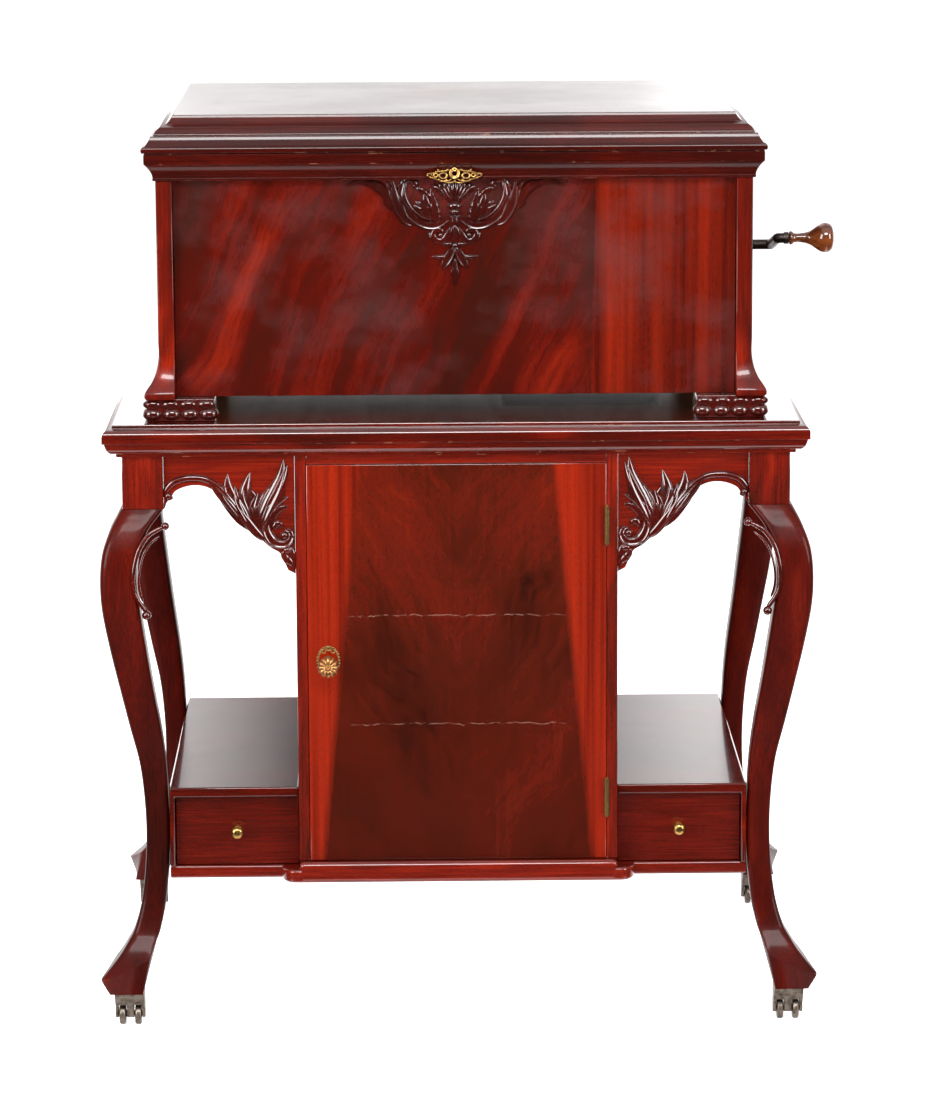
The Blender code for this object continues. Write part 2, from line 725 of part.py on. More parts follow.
def build_motor():
    top = BOARD_BOTTOM - FIT
    left = PLATTER_X - 0.055
    right = PLATTER_X + 0.105
    low = CRANK_Z - 0.048
    points = (
        (left, low), (right, low), (right, low + 0.005), (left + 0.006, low + 0.005),
        (left + 0.006, top - 0.006), (right, top - 0.006), (right, top), (left, top),
    )
    frame = make("motor_frame", prism(points, "Y", PLATTER_Y - 0.040, PLATTER_Y + 0.040), "iron")
    carve(frame, [bore(top - 0.03, top + 0.02, 0.0046, "Z", (PLATTER_X, PLATTER_Y, 0.0), 20)])
    start = PLATTER_X + 0.034
    end = start + 0.064
    profile = (
        (start, 0.0), (start, 0.010), (start + 0.004, 0.010), (start + 0.004, 0.034), (end - 0.004, 0.034),
        (end - 0.004, 0.010), (end, 0.010), (end, 0.0),
    )
    origin = ((start + end) / 2, PLATTER_Y, CRANK_Z)
    make("spring_barrel", turned(profile, "X", (0.0, PLATTER_Y, CRANK_Z), 24), "iron", origin)
    x = PLATTER_X - 0.028
    low = low + 0.0054
    high = top - 0.0064
    tall = high - low
    shape = (
        (0.0, 0.0), (0.0, 0.003), (0.25, 0.003), (0.3, 0.006), (0.42, 0.006), (0.47, 0.016),
        (0.55, 0.016), (0.6, 0.006), (0.72, 0.006), (0.77, 0.003), (1.0, 0.003), (1.0, 0.0),
    )
    profile = [(low + tall * part, radius) for part, radius in shape]
    origin = (x, PLATTER_Y, (low + high) / 2)
    make("governor", turned(profile, "Z", (x, PLATTER_Y, 0.0), 16), "brass", origin)


def build_turntable():
    low = CRANK_Z - 0.030
    deck = BOARD_TOP + 0.014
    profile = (
        (low, 0.0), (low, 0.004), (BOARD_TOP + 0.003, 0.004), (BOARD_TOP + 0.003, 0.020),
        (deck, 0.030), (deck, PLATTER_RADIUS - 0.004), (deck + 0.001, PLATTER_RADIUS),
        (deck + 0.010, PLATTER_RADIUS), (deck + 0.013, PLATTER_RADIUS - 0.003), (deck + 0.013, 0.0036),
        (deck + 0.023, 0.0036), (deck + 0.025, 0.0),
    )
    origin = (PLATTER_X, PLATTER_Y, deck)
    make("turntable", turned(profile, "Z", (PLATTER_X, PLATTER_Y, 0.0), 48), "felt", origin)


def build_horn():
    top = BOARD_BOTTOM - FIT
    low = CASE_BOTTOM + 0.012 + FIT
    mouth_y = CASE_BACK - CASE_WALL - 0.1165
    outer = []
    inner = []
    for step in range(7):
        part = step / 6
        z = top + (low - top) * part
        wide = 0.022 + 0.093 * part ** 2
        deep = 0.022 + 0.073 * part ** 2
        y = ARM_Y + (mouth_y - ARM_Y) * part
        for sections, wall in ((outer, 0.0), (inner, 0.003)):
            sections.append((ARM_X - wide + wall, ARM_X + wide - wall, y - deep + wall, y + deep - wall, z))
    make("horn", stack(outer + inner[::-1], closed=True), "iron")


def build_tone_arm():
    z = BOARD_TOP + 0.0004
    end = ARM_Y - ARM_REACH
    path = (
        (ARM_X, ARM_Y, z), (ARM_X, ARM_Y, z + 0.006), (ARM_X, ARM_Y, z + 0.008),
        (ARM_X, ARM_Y, ARM_Z - 0.020), (ARM_X, ARM_Y - 0.006, ARM_Z - 0.006),
        (ARM_X, ARM_Y - 0.020, ARM_Z), (ARM_X, end + 0.020, ARM_Z),
        (ARM_X, end + 0.006, ARM_Z), (ARM_X - 0.003, end, ARM_Z), (ARM_X - 0.0095, end, ARM_Z),
    )
    radii = (0.024, 0.024, 0.014, 0.013, 0.0125, 0.012, 0.0085, 0.008, 0.008, 0.007)
    make("tone_arm", swept(path, radii, 16), "brass", (ARM_X, ARM_Y, z))
    build_sound_box(end)


def build_sound_box(end):
    x = ARM_X - 0.0099
    profile = (
        (x, 0.0), (x, 0.011), (x - 0.003, 0.013), (x - 0.003, 0.0235), (x - 0.011, 0.0245),
        (x - 0.0125, 0.0230), (x - 0.0125, 0.0195), (x - 0.0105, 0.0185), (x - 0.0105, 0.003),
        (x - 0.0130, 0.0),
    )
    box = make("sound_box", turned(profile, "X", (0.0, end, ARM_Z), 24), "brass", (x - 0.006, end, ARM_Z))
    bar = block(x - 0.0090, x - 0.0060, end - 0.0016, end + 0.0016, ARM_Z - 0.0283, ARM_Z - 0.020)
    carve(box, [bar], "UNION")


def build_crank():
    start = PLATTER_X + 0.0984
    turn = HALF_CASE + 0.0395
    arm_y = PLATTER_Y - CRANK_ARM * math.cos(CRANK_LIFT)
    arm_z = CRANK_Z + CRANK_ARM * math.sin(CRANK_LIFT)
    path = (
        (start, PLATTER_Y, CRANK_Z), (turn, PLATTER_Y, CRANK_Z), (turn, arm_y, arm_z),
        (turn + 0.0142, arm_y, arm_z), (turn + 0.0143, arm_y, arm_z), (GRIP_END - 0.010, arm_y, arm_z),
    )
    radii = (CRANK_RADIUS, CRANK_RADIUS, CRANK_RADIUS, 0.0062, 0.0030, 0.0030)
    origin = ((start + turn) / 2, PLATTER_Y, CRANK_Z)
    make("crank", swept(path, radii, 12), "iron", origin)
    profile = (
        (GRIP_END - 0.0094, 0.0), (GRIP_END - 0.0094, 0.0034), (GRIP_START + 0.0006, 0.0034),
        (GRIP_START + 0.0006, 0.0085), (GRIP_START + 0.005, 0.0090), (GRIP_START + 0.008, 0.0065),
        (GRIP_START + 0.016, 0.0060), (GRIP_START + 0.026, 0.0085), (GRIP_START + 0.036, 0.0150),
        (GRIP_START + 0.044, 0.0193), (GRIP_START + 0.050, 0.0200), (GRIP_START + 0.055, 0.0175),
        (GRIP_START + 0.0585, 0.0110), (GRIP_END, 0.0),
    )
    grip = turned(profile, "X", (0.0, arm_y, arm_z), 20)
    make("crank_handle", grip, "fruitwood", ((GRIP_START + GRIP_END) / 2, arm_y, arm_z))


def build():
    clear_scene()
    build_stand_top()
    build_legs()
    build_aprons()
    build_cabinet()
    build_base()
    build_shelves()
    build_rack()
    build_door()
    build_drawers()
    build_casters()
    build_case()
    build_cornice()
    build_lid()
    build_motor_board()
    build_motor()
    build_turntable()
    build_horn()
    build_tone_arm()
    build_crank()


build()
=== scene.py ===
import math
import bmesh
import bpy
from mathutils import Matrix, Vector


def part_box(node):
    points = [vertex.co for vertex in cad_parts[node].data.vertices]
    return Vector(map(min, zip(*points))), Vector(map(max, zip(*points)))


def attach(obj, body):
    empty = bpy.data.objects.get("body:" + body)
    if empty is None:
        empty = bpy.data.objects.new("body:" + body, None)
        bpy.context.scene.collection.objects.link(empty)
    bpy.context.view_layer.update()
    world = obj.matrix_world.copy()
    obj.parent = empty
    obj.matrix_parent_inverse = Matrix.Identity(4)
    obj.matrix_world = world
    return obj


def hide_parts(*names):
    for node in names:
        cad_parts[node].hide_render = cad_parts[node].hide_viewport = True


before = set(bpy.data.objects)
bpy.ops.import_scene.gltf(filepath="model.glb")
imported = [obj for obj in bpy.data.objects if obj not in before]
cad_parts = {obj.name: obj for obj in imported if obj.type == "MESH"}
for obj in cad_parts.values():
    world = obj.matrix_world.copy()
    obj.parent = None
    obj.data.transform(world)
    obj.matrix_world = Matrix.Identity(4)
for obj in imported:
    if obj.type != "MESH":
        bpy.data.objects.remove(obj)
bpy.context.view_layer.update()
standLow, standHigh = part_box("stand_top")
middleX = (standLow.x + standHigh.x) / 2    # the crank pushes the object's own centre line off X = 0
sides = (("left", -1), ("right", 1))
ends = (("front", -1), ("rear", 1))
mergeGap = 2e-6    # vertices closer than this are one
print("frame loaded")


def boxOf(name):
    # a CAD node's box, measured from the object's own centre line
    low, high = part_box(name)
    shift = Vector((middleX, 0, 0))
    return low - shift, high - shift


def curveThrough(points, perSpan=8):
    found = []
    last = len(points) - 1
    for span in range(last):
        a = Vector(points[max(span - 1, 0)])
        b = Vector(points[span])
        c = Vector(points[span + 1])
        d = Vector(points[min(span + 2, last)])
        for step in range(perSpan):
            t = step / perSpan
            found.append(0.5 * (2 * b + (c - a) * t + (2 * a - 5 * b + 4 * c - d) * t * t
                                + (3 * b - a - 3 * c + d) * t ** 3))
    found.append(Vector(points[last]))
    return found


def runsToProfile(runs, perSpan=5):
    # each run is a smooth stretch, and a sharp corner stands where two runs meet
    profile = []
    for run in runs:
        stretch = [Vector(p) for p in run] if len(run) == 2 else curveThrough(run, perSpan)
        meets = profile and (stretch[0] - profile[-1]).length < 1e-7
        profile += stretch[1:] if meets else stretch
    return profile


def along(points, t):
    place = min(max(t, 0.0), 1.0) * (len(points) - 1)
    first = min(int(place), len(points) - 2)
    return points[first].lerp(points[first + 1], place - first)


def finishPiece(name, bm, body, material, replaces=(), slot=None, sharp=38, flatAbove=0.003, shift=True):
    # closes the mesh, turns its faces outwards, and hands it over with its body, hiding the nodes it replaces; the slot
    # it is given is not recorded
    bmesh.ops.remove_doubles(bm, verts=bm.verts, dist=mergeGap)
    bmesh.ops.dissolve_degenerate(bm, edges=bm.edges, dist=1e-7)
    bmesh.ops.recalc_face_normals(bm, faces=bm.faces)
    if shift:
        bmesh.ops.translate(bm, verts=bm.verts, vec=(middleX, 0, 0))
    mesh = bpy.data.meshes.new(name)
    bm.to_mesh(mesh)
    bm.free()
    mesh.shade_smooth()
    mesh.set_sharp_from_angle(angle=math.radians(sharp))
    for face in mesh.polygons:
        if face.area > flatAbove:
            face.use_smooth = False
    mesh.materials.append(material)
    piece = bpy.data.objects.new(name, mesh)
    bpy.context.scene.collection.objects.link(piece)
    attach(piece, body)
    if replaces:
        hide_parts(*replaces)
    if replaces or slot:
        slot or replaces[0]


def wrapSheet(bm, around, lengthwise, place):
    # a grid rolled into a closed skin: u runs round it and t along it, with both ends drawn shut
    rows = lengthwise + 2
    made = bmesh.ops.create_grid(bm, x_segments=around, y_segments=rows, size=0.5)
    for vert in made["verts"]:
        u = (vert.co.x + 0.5) % 1.0 if vert.co.x < 0.4999 else 0.0
        row = round((vert.co.y + 0.5) * rows)
        if row in (0, rows):
            t = 0.0 if row == 0 else 1.0
            vert.co = (place(0.0, t) + place(0.25, t) + place(0.5, t) + place(0.75, t)) / 4
        else:
            vert.co = place(u, (row - 1) / lengthwise)
    bmesh.ops.remove_doubles(bm, verts=made["verts"], dist=mergeGap)


def strand(bm, path, radii, out=(0, -1, 0), flat=1.0, around=10, lengthwise=28, groove=0.0, lobes=(0, 0.0)):
    # a carved stem or leaf: half-round, tapering to both ends, standing off the wood toward out
    line = curveThrough(path, 10)
    widths = curveThrough([(r, 0, 0) for r in radii], 10)
    away = Vector(out).normalized()

    def place(u, t):
        here = along(line, t)
        ahead = along(line, t + 0.02) - along(line, t - 0.02)
        across = ahead.normalized().cross(away).normalized()
        angle = 2 * math.pi * u
        end = max(0.02, 1 - (2 * t - 1) ** 8) ** 0.5
        wide = max(along(widths, t).x, 0.0001) * end
        rise = math.sin(angle)
        if rise > 0:
            rise *= 1 - groove * math.exp(-(math.cos(angle) / 0.3) ** 2)
        lobed = wide * (1 + lobes[1] * (abs(math.sin(math.pi * lobes[0] * t)) - 0.5))
        return here + across * lobed * math.cos(angle) + away * wide * flat * rise

    wrapSheet(bm, around, lengthwise, place)


def rod(bm, points, radii, around=20, perSpan=6):
    # a bent round bar whose thickness may change along it
    line = curveThrough(points, perSpan)
    widths = curveThrough([(r, 0, 0) for r in radii], perSpan)
    last = len(line) - 1
    frames = []
    up = None
    for index, here in enumerate(line):
        ahead = (line[min(index + 1, last)] - line[max(index - 1, 0)]).normalized()
        if up is None:
            up = Vector((0, 0, 1)) if abs(ahead.z) < 0.9 else Vector((1, 0, 0))
        side = ahead.cross(up).normalized()
        up = side.cross(ahead)
        frames.append((here, side, up.copy(), widths[index].x))

    def place(u, t):
        here, side, above, radius = frames[round(t * last)]
        return here + (side * math.cos(math.tau * u) + above * math.sin(math.tau * u)) * radius

    wrapSheet(bm, around, last, place)


def ball(bm, centre, radius, squash=(1, 1, 1), segments=14):
    move = Matrix.Translation(Vector(centre)) @ Matrix.Diagonal((*squash, 1))
    bmesh.ops.create_uvsphere(bm, u_segments=segments, v_segments=segments // 2 + 2, radius=radius, matrix=move)


def spun(bm, profile, axis, centre, steps=40):
    # profile: (place along the axis, radius); ends on the axis are closed by the merge
    direction = {"X": Vector((1, 0, 0)), "Y": Vector((0, 1, 0)), "Z": Vector((0, 0, 1))}[axis]
    outward = Vector((0, 0, 1)) if axis != "Z" else Vector((1, 0, 0))
    middle = Vector(centre)
    verts = [bm.verts.new(middle + direction * p[0] + outward * p[1]) for p in profile]
    edges = [bm.edges.new(pair) for pair in zip(verts, verts[1:])]
    bmesh.ops.spin(bm, geom=verts + edges, cent=middle, axis=direction, angle=math.tau,
                   steps=steps, use_merge=True, use_duplicate=False)
    bmesh.ops.remove_doubles(bm, verts=bm.verts, dist=mergeGap)


def ring(bm, centre, radius, thick, squash=1.0):
    # a small wire ring that faces the front, squash times as tall as it is wide
    middle = Vector(centre)
    first, second = Vector((1, 0, 0)), Vector((0, 0, 1))
    away = first.cross(second)
    made = bmesh.ops.create_grid(bm, x_segments=28, y_segments=8, size=0.5)
    for vert in made["verts"]:
        u = math.tau * (vert.co.x + 0.5)
        v = math.tau * (vert.co.y + 0.5)
        reach = first * math.cos(u) + second * math.sin(u) * squash
        vert.co = middle + reach * (radius + thick * math.cos(v)) + away * thick * math.sin(v)
    bmesh.ops.remove_doubles(bm, verts=made["verts"], dist=mergeGap)


def spread(corners, rect):
    # moves four corners to a rectangle (x0, x1, y0, y1, z)
    midX = sum(v.co.x for v in corners) / 4
    midY = sum(v.co.y for v in corners) / 4
    places = [(rect[1] if v.co.x > midX else rect[0], rect[3] if v.co.y > midY else rect[2], rect[4])
              for v in corners]
    for vert, place in zip(corners, places):
        vert.co = place


def raised(bm, rects, hollow=False):
    # a rectangle pushed up step by step, each step (x0, x1, y0, y1, z); a hollow one closes on its own start
    made = bmesh.ops.create_grid(bm, x_segments=1, y_segments=1, size=0.5)
    face = made["verts"][0].link_faces[0]
    start = face.edges[:]
    spread(made["verts"], rects[0])
    if hollow:
        bmesh.ops.delete(bm, geom=[face], context="FACES_ONLY")
    rim = start
    for rect in rects[1:]:
        grown = bmesh.ops.extrude_edge_only(bm, edges=rim)["geom"]
        corners = [item for item in grown if isinstance(item, bmesh.types.BMVert)]
        rim = [item for item in grown if isinstance(item, bmesh.types.BMEdge)
               and item.verts[0] in corners and item.verts[1] in corners]
        spread(corners, rect)
    if hollow:
        bmesh.ops.bridge_loops(bm, edges=rim + start)
    else:
        bmesh.ops.contextual_create(bm, geom=rim)


def moulded(low, high, profile):
    # the same moulding on all four sides: profile is (out from the box, height)
    return [(low[0] - p[0], high[0] + p[0], low[1] - p[0], high[1] + p[0], p[1]) for p in profile]


def slab(bm, low, high, ease=0.0008, segments=2):
    size = Vector(high) - Vector(low)
    move = Matrix.Translation((Vector(low) + Vector(high)) / 2) @ Matrix.Diagonal((*size, 1))
    made = bmesh.ops.create_cube(bm, size=1.0, matrix=move)
    edges = list(dict.fromkeys(edge for vert in made["verts"] for edge in vert.link_edges))
    bmesh.ops.bevel(bm, geom=edges, offset=ease, segments=segments, profile=0.5, affect="EDGES",
                    material=-1, clamp_overlap=True)


def pulledOutline(bm, outline, axis, start, end, ease=0.0, segments=2):
    # a flat outline given a thickness along one axis
    order = {"X": lambda a, b: (start, a, b), "Y": lambda a, b: (a, start, b), "Z": lambda a, b: (a, b, start)}
    verts = [bm.verts.new(order[axis](a, b)) for a, b in outline]
    face = bm.faces.new(verts)
    rim = face.edges[:]
    push = {"X": (end - start, 0, 0), "Y": (0, end - start, 0), "Z": (0, 0, end - start)}[axis]
    grown = bmesh.ops.extrude_face_region(bm, geom=[face], use_keep_orig=True)["geom"]
    moved = [item for item in grown if isinstance(item, bmesh.types.BMVert)]
    bmesh.ops.translate(bm, verts=moved, vec=push)
    if ease:
        rim += [item for item in grown if isinstance(item, bmesh.types.BMEdge)]
        bmesh.ops.bevel(bm, geom=rim, offset=ease, segments=segments, profile=0.5, affect="EDGES",
                        material=-1, clamp_overlap=True)


def easedCopy(node, body, material, ease=0.001, segments=2, corner=40):
    # a copy of a CAD node with its corners eased
    bm = bmesh.new()
    bm.from_mesh(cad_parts[node].data)
    bmesh.ops.remove_doubles(bm, verts=bm.verts, dist=1e-5)
    bmesh.ops.dissolve_limit(bm, angle_limit=math.radians(1.2), verts=bm.verts, edges=bm.edges)
    edges = [e for e in bm.edges if e.is_manifold and e.calc_face_angle(0) > math.radians(corner)]
    bmesh.ops.bevel(bm, geom=edges, offset=ease, segments=segments, profile=0.5, affect="EDGES",
                    material=-1, clamp_overlap=True)
    finishPiece(node + "_eased", bm, body, material, (node,), shift=False, flatAbove=0.0004)


def freshMaterial(name):
    material = bpy.data.materials.new(name)
    material.use_nodes = True
    return material, material.node_tree, material.node_tree.nodes["Principled BSDF"]


def add(tree, kind, inputs=None, **settings):
    # a shader node; an input is a number, a colour or another node's output
    made = tree.nodes.new("ShaderNode" + kind)
    for key, value in settings.items():
        setattr(made, key, value)
    for socket, value in (inputs or {}).items():
        if isinstance(value, bpy.types.NodeSocket):
            tree.links.new(value, made.inputs[socket])
        else:
            made.inputs[socket].default_value = value
    return made


def sums(tree, first, factor, second):
    # first times factor, plus second
    return add(tree, "Math", {0: first, 1: factor, 2: second}, operation="MULTIPLY_ADD").outputs[0]


def ramp(tree, value, stops):
    made = add(tree, "ValToRGB", {"Fac": value})
    steps = made.color_ramp.elements
    while len(steps) < len(stops):
        steps.new(0.5)
    for step, (place, colour) in zip(steps, stops):
        step.position = place
        step.color = (*colour, 1) if isinstance(colour, tuple) else (colour, colour, colour, 1)
    return made.outputs["Color"]


def cloud(tree, vector, stretch, detail=2.0, rough=0.5):
    # noise, with stretch as its number of waves to a metre along each axis
    place = add(tree, "Mapping", {"Vector": vector, "Scale": stretch}).outputs[0]
    return add(tree, "TexNoise", {"Vector": place, "Scale": 1.0, "Detail": detail, "Roughness": rough}).outputs[0]


def mixed(tree, factor, first, second):
    made = add(tree, "Mix", data_type="RGBA")
    for socket, value in ((0, factor), (6, first), (7, second)):
        if isinstance(value, bpy.types.NodeSocket):
            tree.links.new(value, made.inputs[socket])
        elif socket == 0:
            made.inputs[0].default_value = value
        else:
            made.inputs[socket].default_value = (*value, 1)
    return made.outputs[2]


def toned(colour, factor):
    return tuple(part * factor for part in colour)


woodTones = {
    "dark": (0.018, 0.0020, 0.0008),
    "mid": (0.072, 0.0028, 0.0005),
    "bright": (0.178, 0.0086, 0.0010),
    "poreAndShade": (0.014, 0.0022, 0.0010),
    # the grey of the painted sheen, a painted reflection of the bright room
    "paintedSheen": (0.062, 0.033, 0.032),
    "nick": (0.42, 0.20, 0.10),
}
grainTurns = {"Z": (0, 0, 0), "X": (0, math.pi / 2, 0), "Y": (math.pi / 2, 0, 0)}


def polished(name, grain="Z", shade=1.0, figure=0.9, stripe=0.5, size=1.0, paintedSheen=0.0, gloss=0.16,
             coat=1.0, film=0.05, spec=0.15, worn=0.0, hollowShadeRidgeHighlight=0.0, tones=woodTones, pattern=None):
    # french-polished wood: broad figure, ribbon stripe, fine fibre and pores under a clear coat, with painted sheen
    # patches, painted shade in hollows and painted highlight on ridges where asked
    material, tree, shader = freshMaterial(name)
    coords = add(tree, "TexCoord").outputs["Object"]
    place = add(tree, "Mapping", {"Vector": coords, "Rotation": grainTurns[grain],
                                  "Location": (-middleX, 0, 0)}).outputs[0]
    fibre = cloud(tree, place, (520, 520, 13), detail=2)
    pores = cloud(tree, place, (2100, 2100, 190), detail=1)
    dark, mid, bright = (toned(tones[k], shade) for k in ("dark", "mid", "bright"))
    if pattern:
        colour = pattern(tree, coords, (dark, mid, bright))
    else:
        bend = add(tree, "TexNoise", {"Vector": place, "Scale": 4.5 * size, "Detail": 2.0}).outputs["Color"]
        warped = add(tree, "VectorMath", {0: bend, 1: (0.07, 0.07, 0.10), 2: place},
                     operation="MULTIPLY_ADD").outputs[0]
        broad = cloud(tree, warped, (10 * size, 10 * size, 2.4 * size), detail=3, rough=0.6)
        ribbon = cloud(tree, warped, (46 * size, 46 * size, 1.3), detail=2)
        value = sums(tree, broad, figure, 0.5 - figure / 2)
        value = sums(tree, ribbon, stripe, value)
        value = sums(tree, fibre, 0.34, value)
        value = add(tree, "Math", {0: value, 1: stripe / 2 + 0.17}, operation="SUBTRACT").outputs[0]
        colour = ramp(tree, value, ((0.28, dark), (0.50, mid), (0.74, bright)))
    colour = mixed(tree, ramp(tree, pores, ((0.55, 0.0), (0.70, 0.50))), colour, tones["poreAndShade"])
    smudgeAndSheen = cloud(tree, coords, (5, 5, 7), detail=5, rough=0.62)
    # painted sheen: grey patches laid on the colour stand in for the polish mirroring the bright room
    if paintedSheen:
        sheenPatches = ramp(tree, smudgeAndSheen, ((0.48, 0.0), (0.66, paintedSheen)))
        colour = mixed(tree, sheenPatches, colour, tones["paintedSheen"])
    # painted shade in the hollows and painted highlight on the ridges, read from the pointiness; the pore colour serves
    # as the shade colour
    if hollowShadeRidgeHighlight:
        point = add(tree, "NewGeometry").outputs["Pointiness"]
        colour = mixed(tree, ramp(tree, point, ((0.42, hollowShadeRidgeHighlight), (0.49, 0.0))), colour, tones["poreAndShade"])
        colour = mixed(tree, ramp(tree, point, ((0.54, 0.0), (0.66, 0.30))), colour, bright)
    if worn:
        spots = cloud(tree, coords, (55, 55, 55), detail=3, rough=0.7)
        edge = add(tree, "Bevel", {"Radius": 0.0022}, samples=4).outputs[0]
        flat = add(tree, "NewGeometry").outputs["Normal"]
        turned = add(tree, "VectorMath", {0: edge, 1: flat}, operation="DOT_PRODUCT").outputs["Value"]
        near = ramp(tree, turned, ((0.90, 1.0), (0.985, 0.0)))
        chips = add(tree, "Math", {0: ramp(tree, spots, ((0.60, 0.0), (0.66, worn))), 1: near},
                    operation="MULTIPLY").outputs[0]
        colour = mixed(tree, chips, colour, tones["nick"])
    tree.links.new(colour, shader.inputs["Base Color"])
    rough = sums(tree, smudgeAndSheen, 0.16, gloss)
    tree.links.new(rough, shader.inputs["Roughness"])
    height = sums(tree, pores, -0.5, fibre)
    bump = add(tree, "Bump", {"Height": height, "Strength": 0.10, "Distance": 0.0005}).outputs[0]
    slow = cloud(tree, coords, (11, 11, 11), detail=1)
    bump = add(tree, "Bump", {"Height": slow, "Normal": bump, "Strength": 0.10, "Distance": 0.003}).outputs[0]
    tree.links.new(bump, shader.inputs["Normal"])
    shader.inputs["Coat Weight"].default_value = coat
    shader.inputs["Coat Roughness"].default_value = film
    shader.inputs["Specular IOR Level"].default_value = spec
    return material


def matched(tree, coords, x0, slope, z0, soft):
    # 0 on the left of a slanting line and 1 on its right
    parts = add(tree, "SeparateXYZ", {0: coords})
    tilted = sums(tree, parts.outputs[2], -slope, parts.outputs[0])
    return add(tree, "MapRange", {0: tilted, 1: x0 - slope * z0 - soft, 2: x0 - slope * z0 + soft}).outputs[0]


doorFigure = {"halfTop": 0.127, "widening": 0.094, "top": 0.753, "scratches": (0.552, 0.4065),
              "pale": (0.30, 0.17, 0.13)}
panelFigure = {"join": 0.180, "bandWidth": 0.012}


def doorPattern(tree, coords, tones):
    # a dark feathered flitch down the middle, straight-grained strips beside it
    mid, bright = tones[1:]
    centred = add(tree, "Mapping", {"Vector": coords, "Location": (-middleX, 0, 0)}).outputs[0]
    parts = add(tree, "SeparateXYZ", {0: centred})
    x, z = parts.outputs[0], parts.outputs[2]
    away = add(tree, "Math", {0: x}, operation="ABSOLUTE").outputs[0]
    half = sums(tree, z, -doorFigure["widening"],
                doorFigure["halfTop"] + doorFigure["widening"] * doorFigure["top"])
    beyond = add(tree, "Math", {0: away, 1: half}, operation="SUBTRACT").outputs[0]
    strip = add(tree, "MapRange", {0: beyond, 1: -0.004, 2: 0.006}).outputs[0]
    rise = sums(tree, away, -1.5, z)
    feather = add(tree, "CombineXYZ", {0: away, 1: x, 2: rise}).outputs[0]
    ruffle = add(tree, "TexNoise", {"Vector": centred, "Scale": 9.0, "Detail": 3.0}).outputs["Color"]
    feather = add(tree, "VectorMath", {0: ruffle, 1: (0.10, 0.03, 0.16), 2: feather},
                  operation="MULTIPLY_ADD").outputs[0]
    plume = cloud(tree, feather, (5, 2.0, 9), detail=4, rough=0.6)
    blotch = cloud(tree, centred, (4.2, 4.2, 3.0), detail=3, rough=0.6)
    grainy = cloud(tree, feather, (55, 20, 60), detail=3, rough=0.65)
    streaky = cloud(tree, centred, (190, 190, 9), detail=2)
    level = sums(tree, plume, 0.55, -0.10)
    level = sums(tree, blotch, 0.55, level)
    level = sums(tree, grainy, 0.22, level)
    level = sums(tree, streaky, 0.12, level)
    corner = matched(tree, centred, -0.02, 0.9, 0.60, 0.14)
    upper = add(tree, "MapRange", {0: z, 1: 0.50, 2: 0.66}).outputs[0]
    lit = add(tree, "Math", {0: corner, 1: upper}, operation="MULTIPLY").outputs[0]
    level = sums(tree, lit, 0.07, level)
    crotch = ramp(tree, level, ((0.46, (0.012, 0.0018, 0.0007)), (0.60, (0.046, 0.0038, 0.0008)),
                                (0.71, (0.068, 0.0042, 0.0009)), (0.86, (0.140, 0.0085, 0.0016))))
    # the crotch is darker towards the bottom
    lowerDarkening = add(tree, "MapRange", {0: z, 1: 0.34, 2: 0.62, 3: 0.50, 4: 0.0}).outputs[0]
    crotch = mixed(tree, lowerDarkening, crotch, (0.022, 0.0020, 0.0006))
    lines = cloud(tree, centred, (120, 120, 1.6), detail=3)
    straight = ramp(tree, lines, ((0.30, mid), (0.55, toned(bright, 0.85)), (0.75, toned(bright, 1.08))))
    colour = mixed(tree, strip, crotch, straight)
    wave = cloud(tree, centred, (60, 60, 0.1), detail=5, rough=0.7)
    for height in doorFigure["scratches"]:
        off = sums(tree, wave, -0.011, z)
        off = add(tree, "Math", {0: off, 1: height - 0.0055}, operation="SUBTRACT").outputs[0]
        off = add(tree, "Math", {0: off}, operation="ABSOLUTE").outputs[0]
        line = add(tree, "MapRange", {0: off, 1: 0.0004, 2: 0.0009, 3: 0.34, 4: 0.0}).outputs[0]
        broken = ramp(tree, cloud(tree, centred, (85, 85, 300), detail=3), ((0.44, 0.05), (0.56, 1.0)))
        within = add(tree, "MapRange", {0: away, 1: 0.130, 2: 0.145, 3: 1.0, 4: 0.0}).outputs[0]
        line = add(tree, "Math", {0: line, 1: broken}, operation="MULTIPLY").outputs[0]
        line = add(tree, "Math", {0: line, 1: within}, operation="MULTIPLY").outputs[0]
        colour = mixed(tree, line, colour, doorFigure["pale"])
    return colour


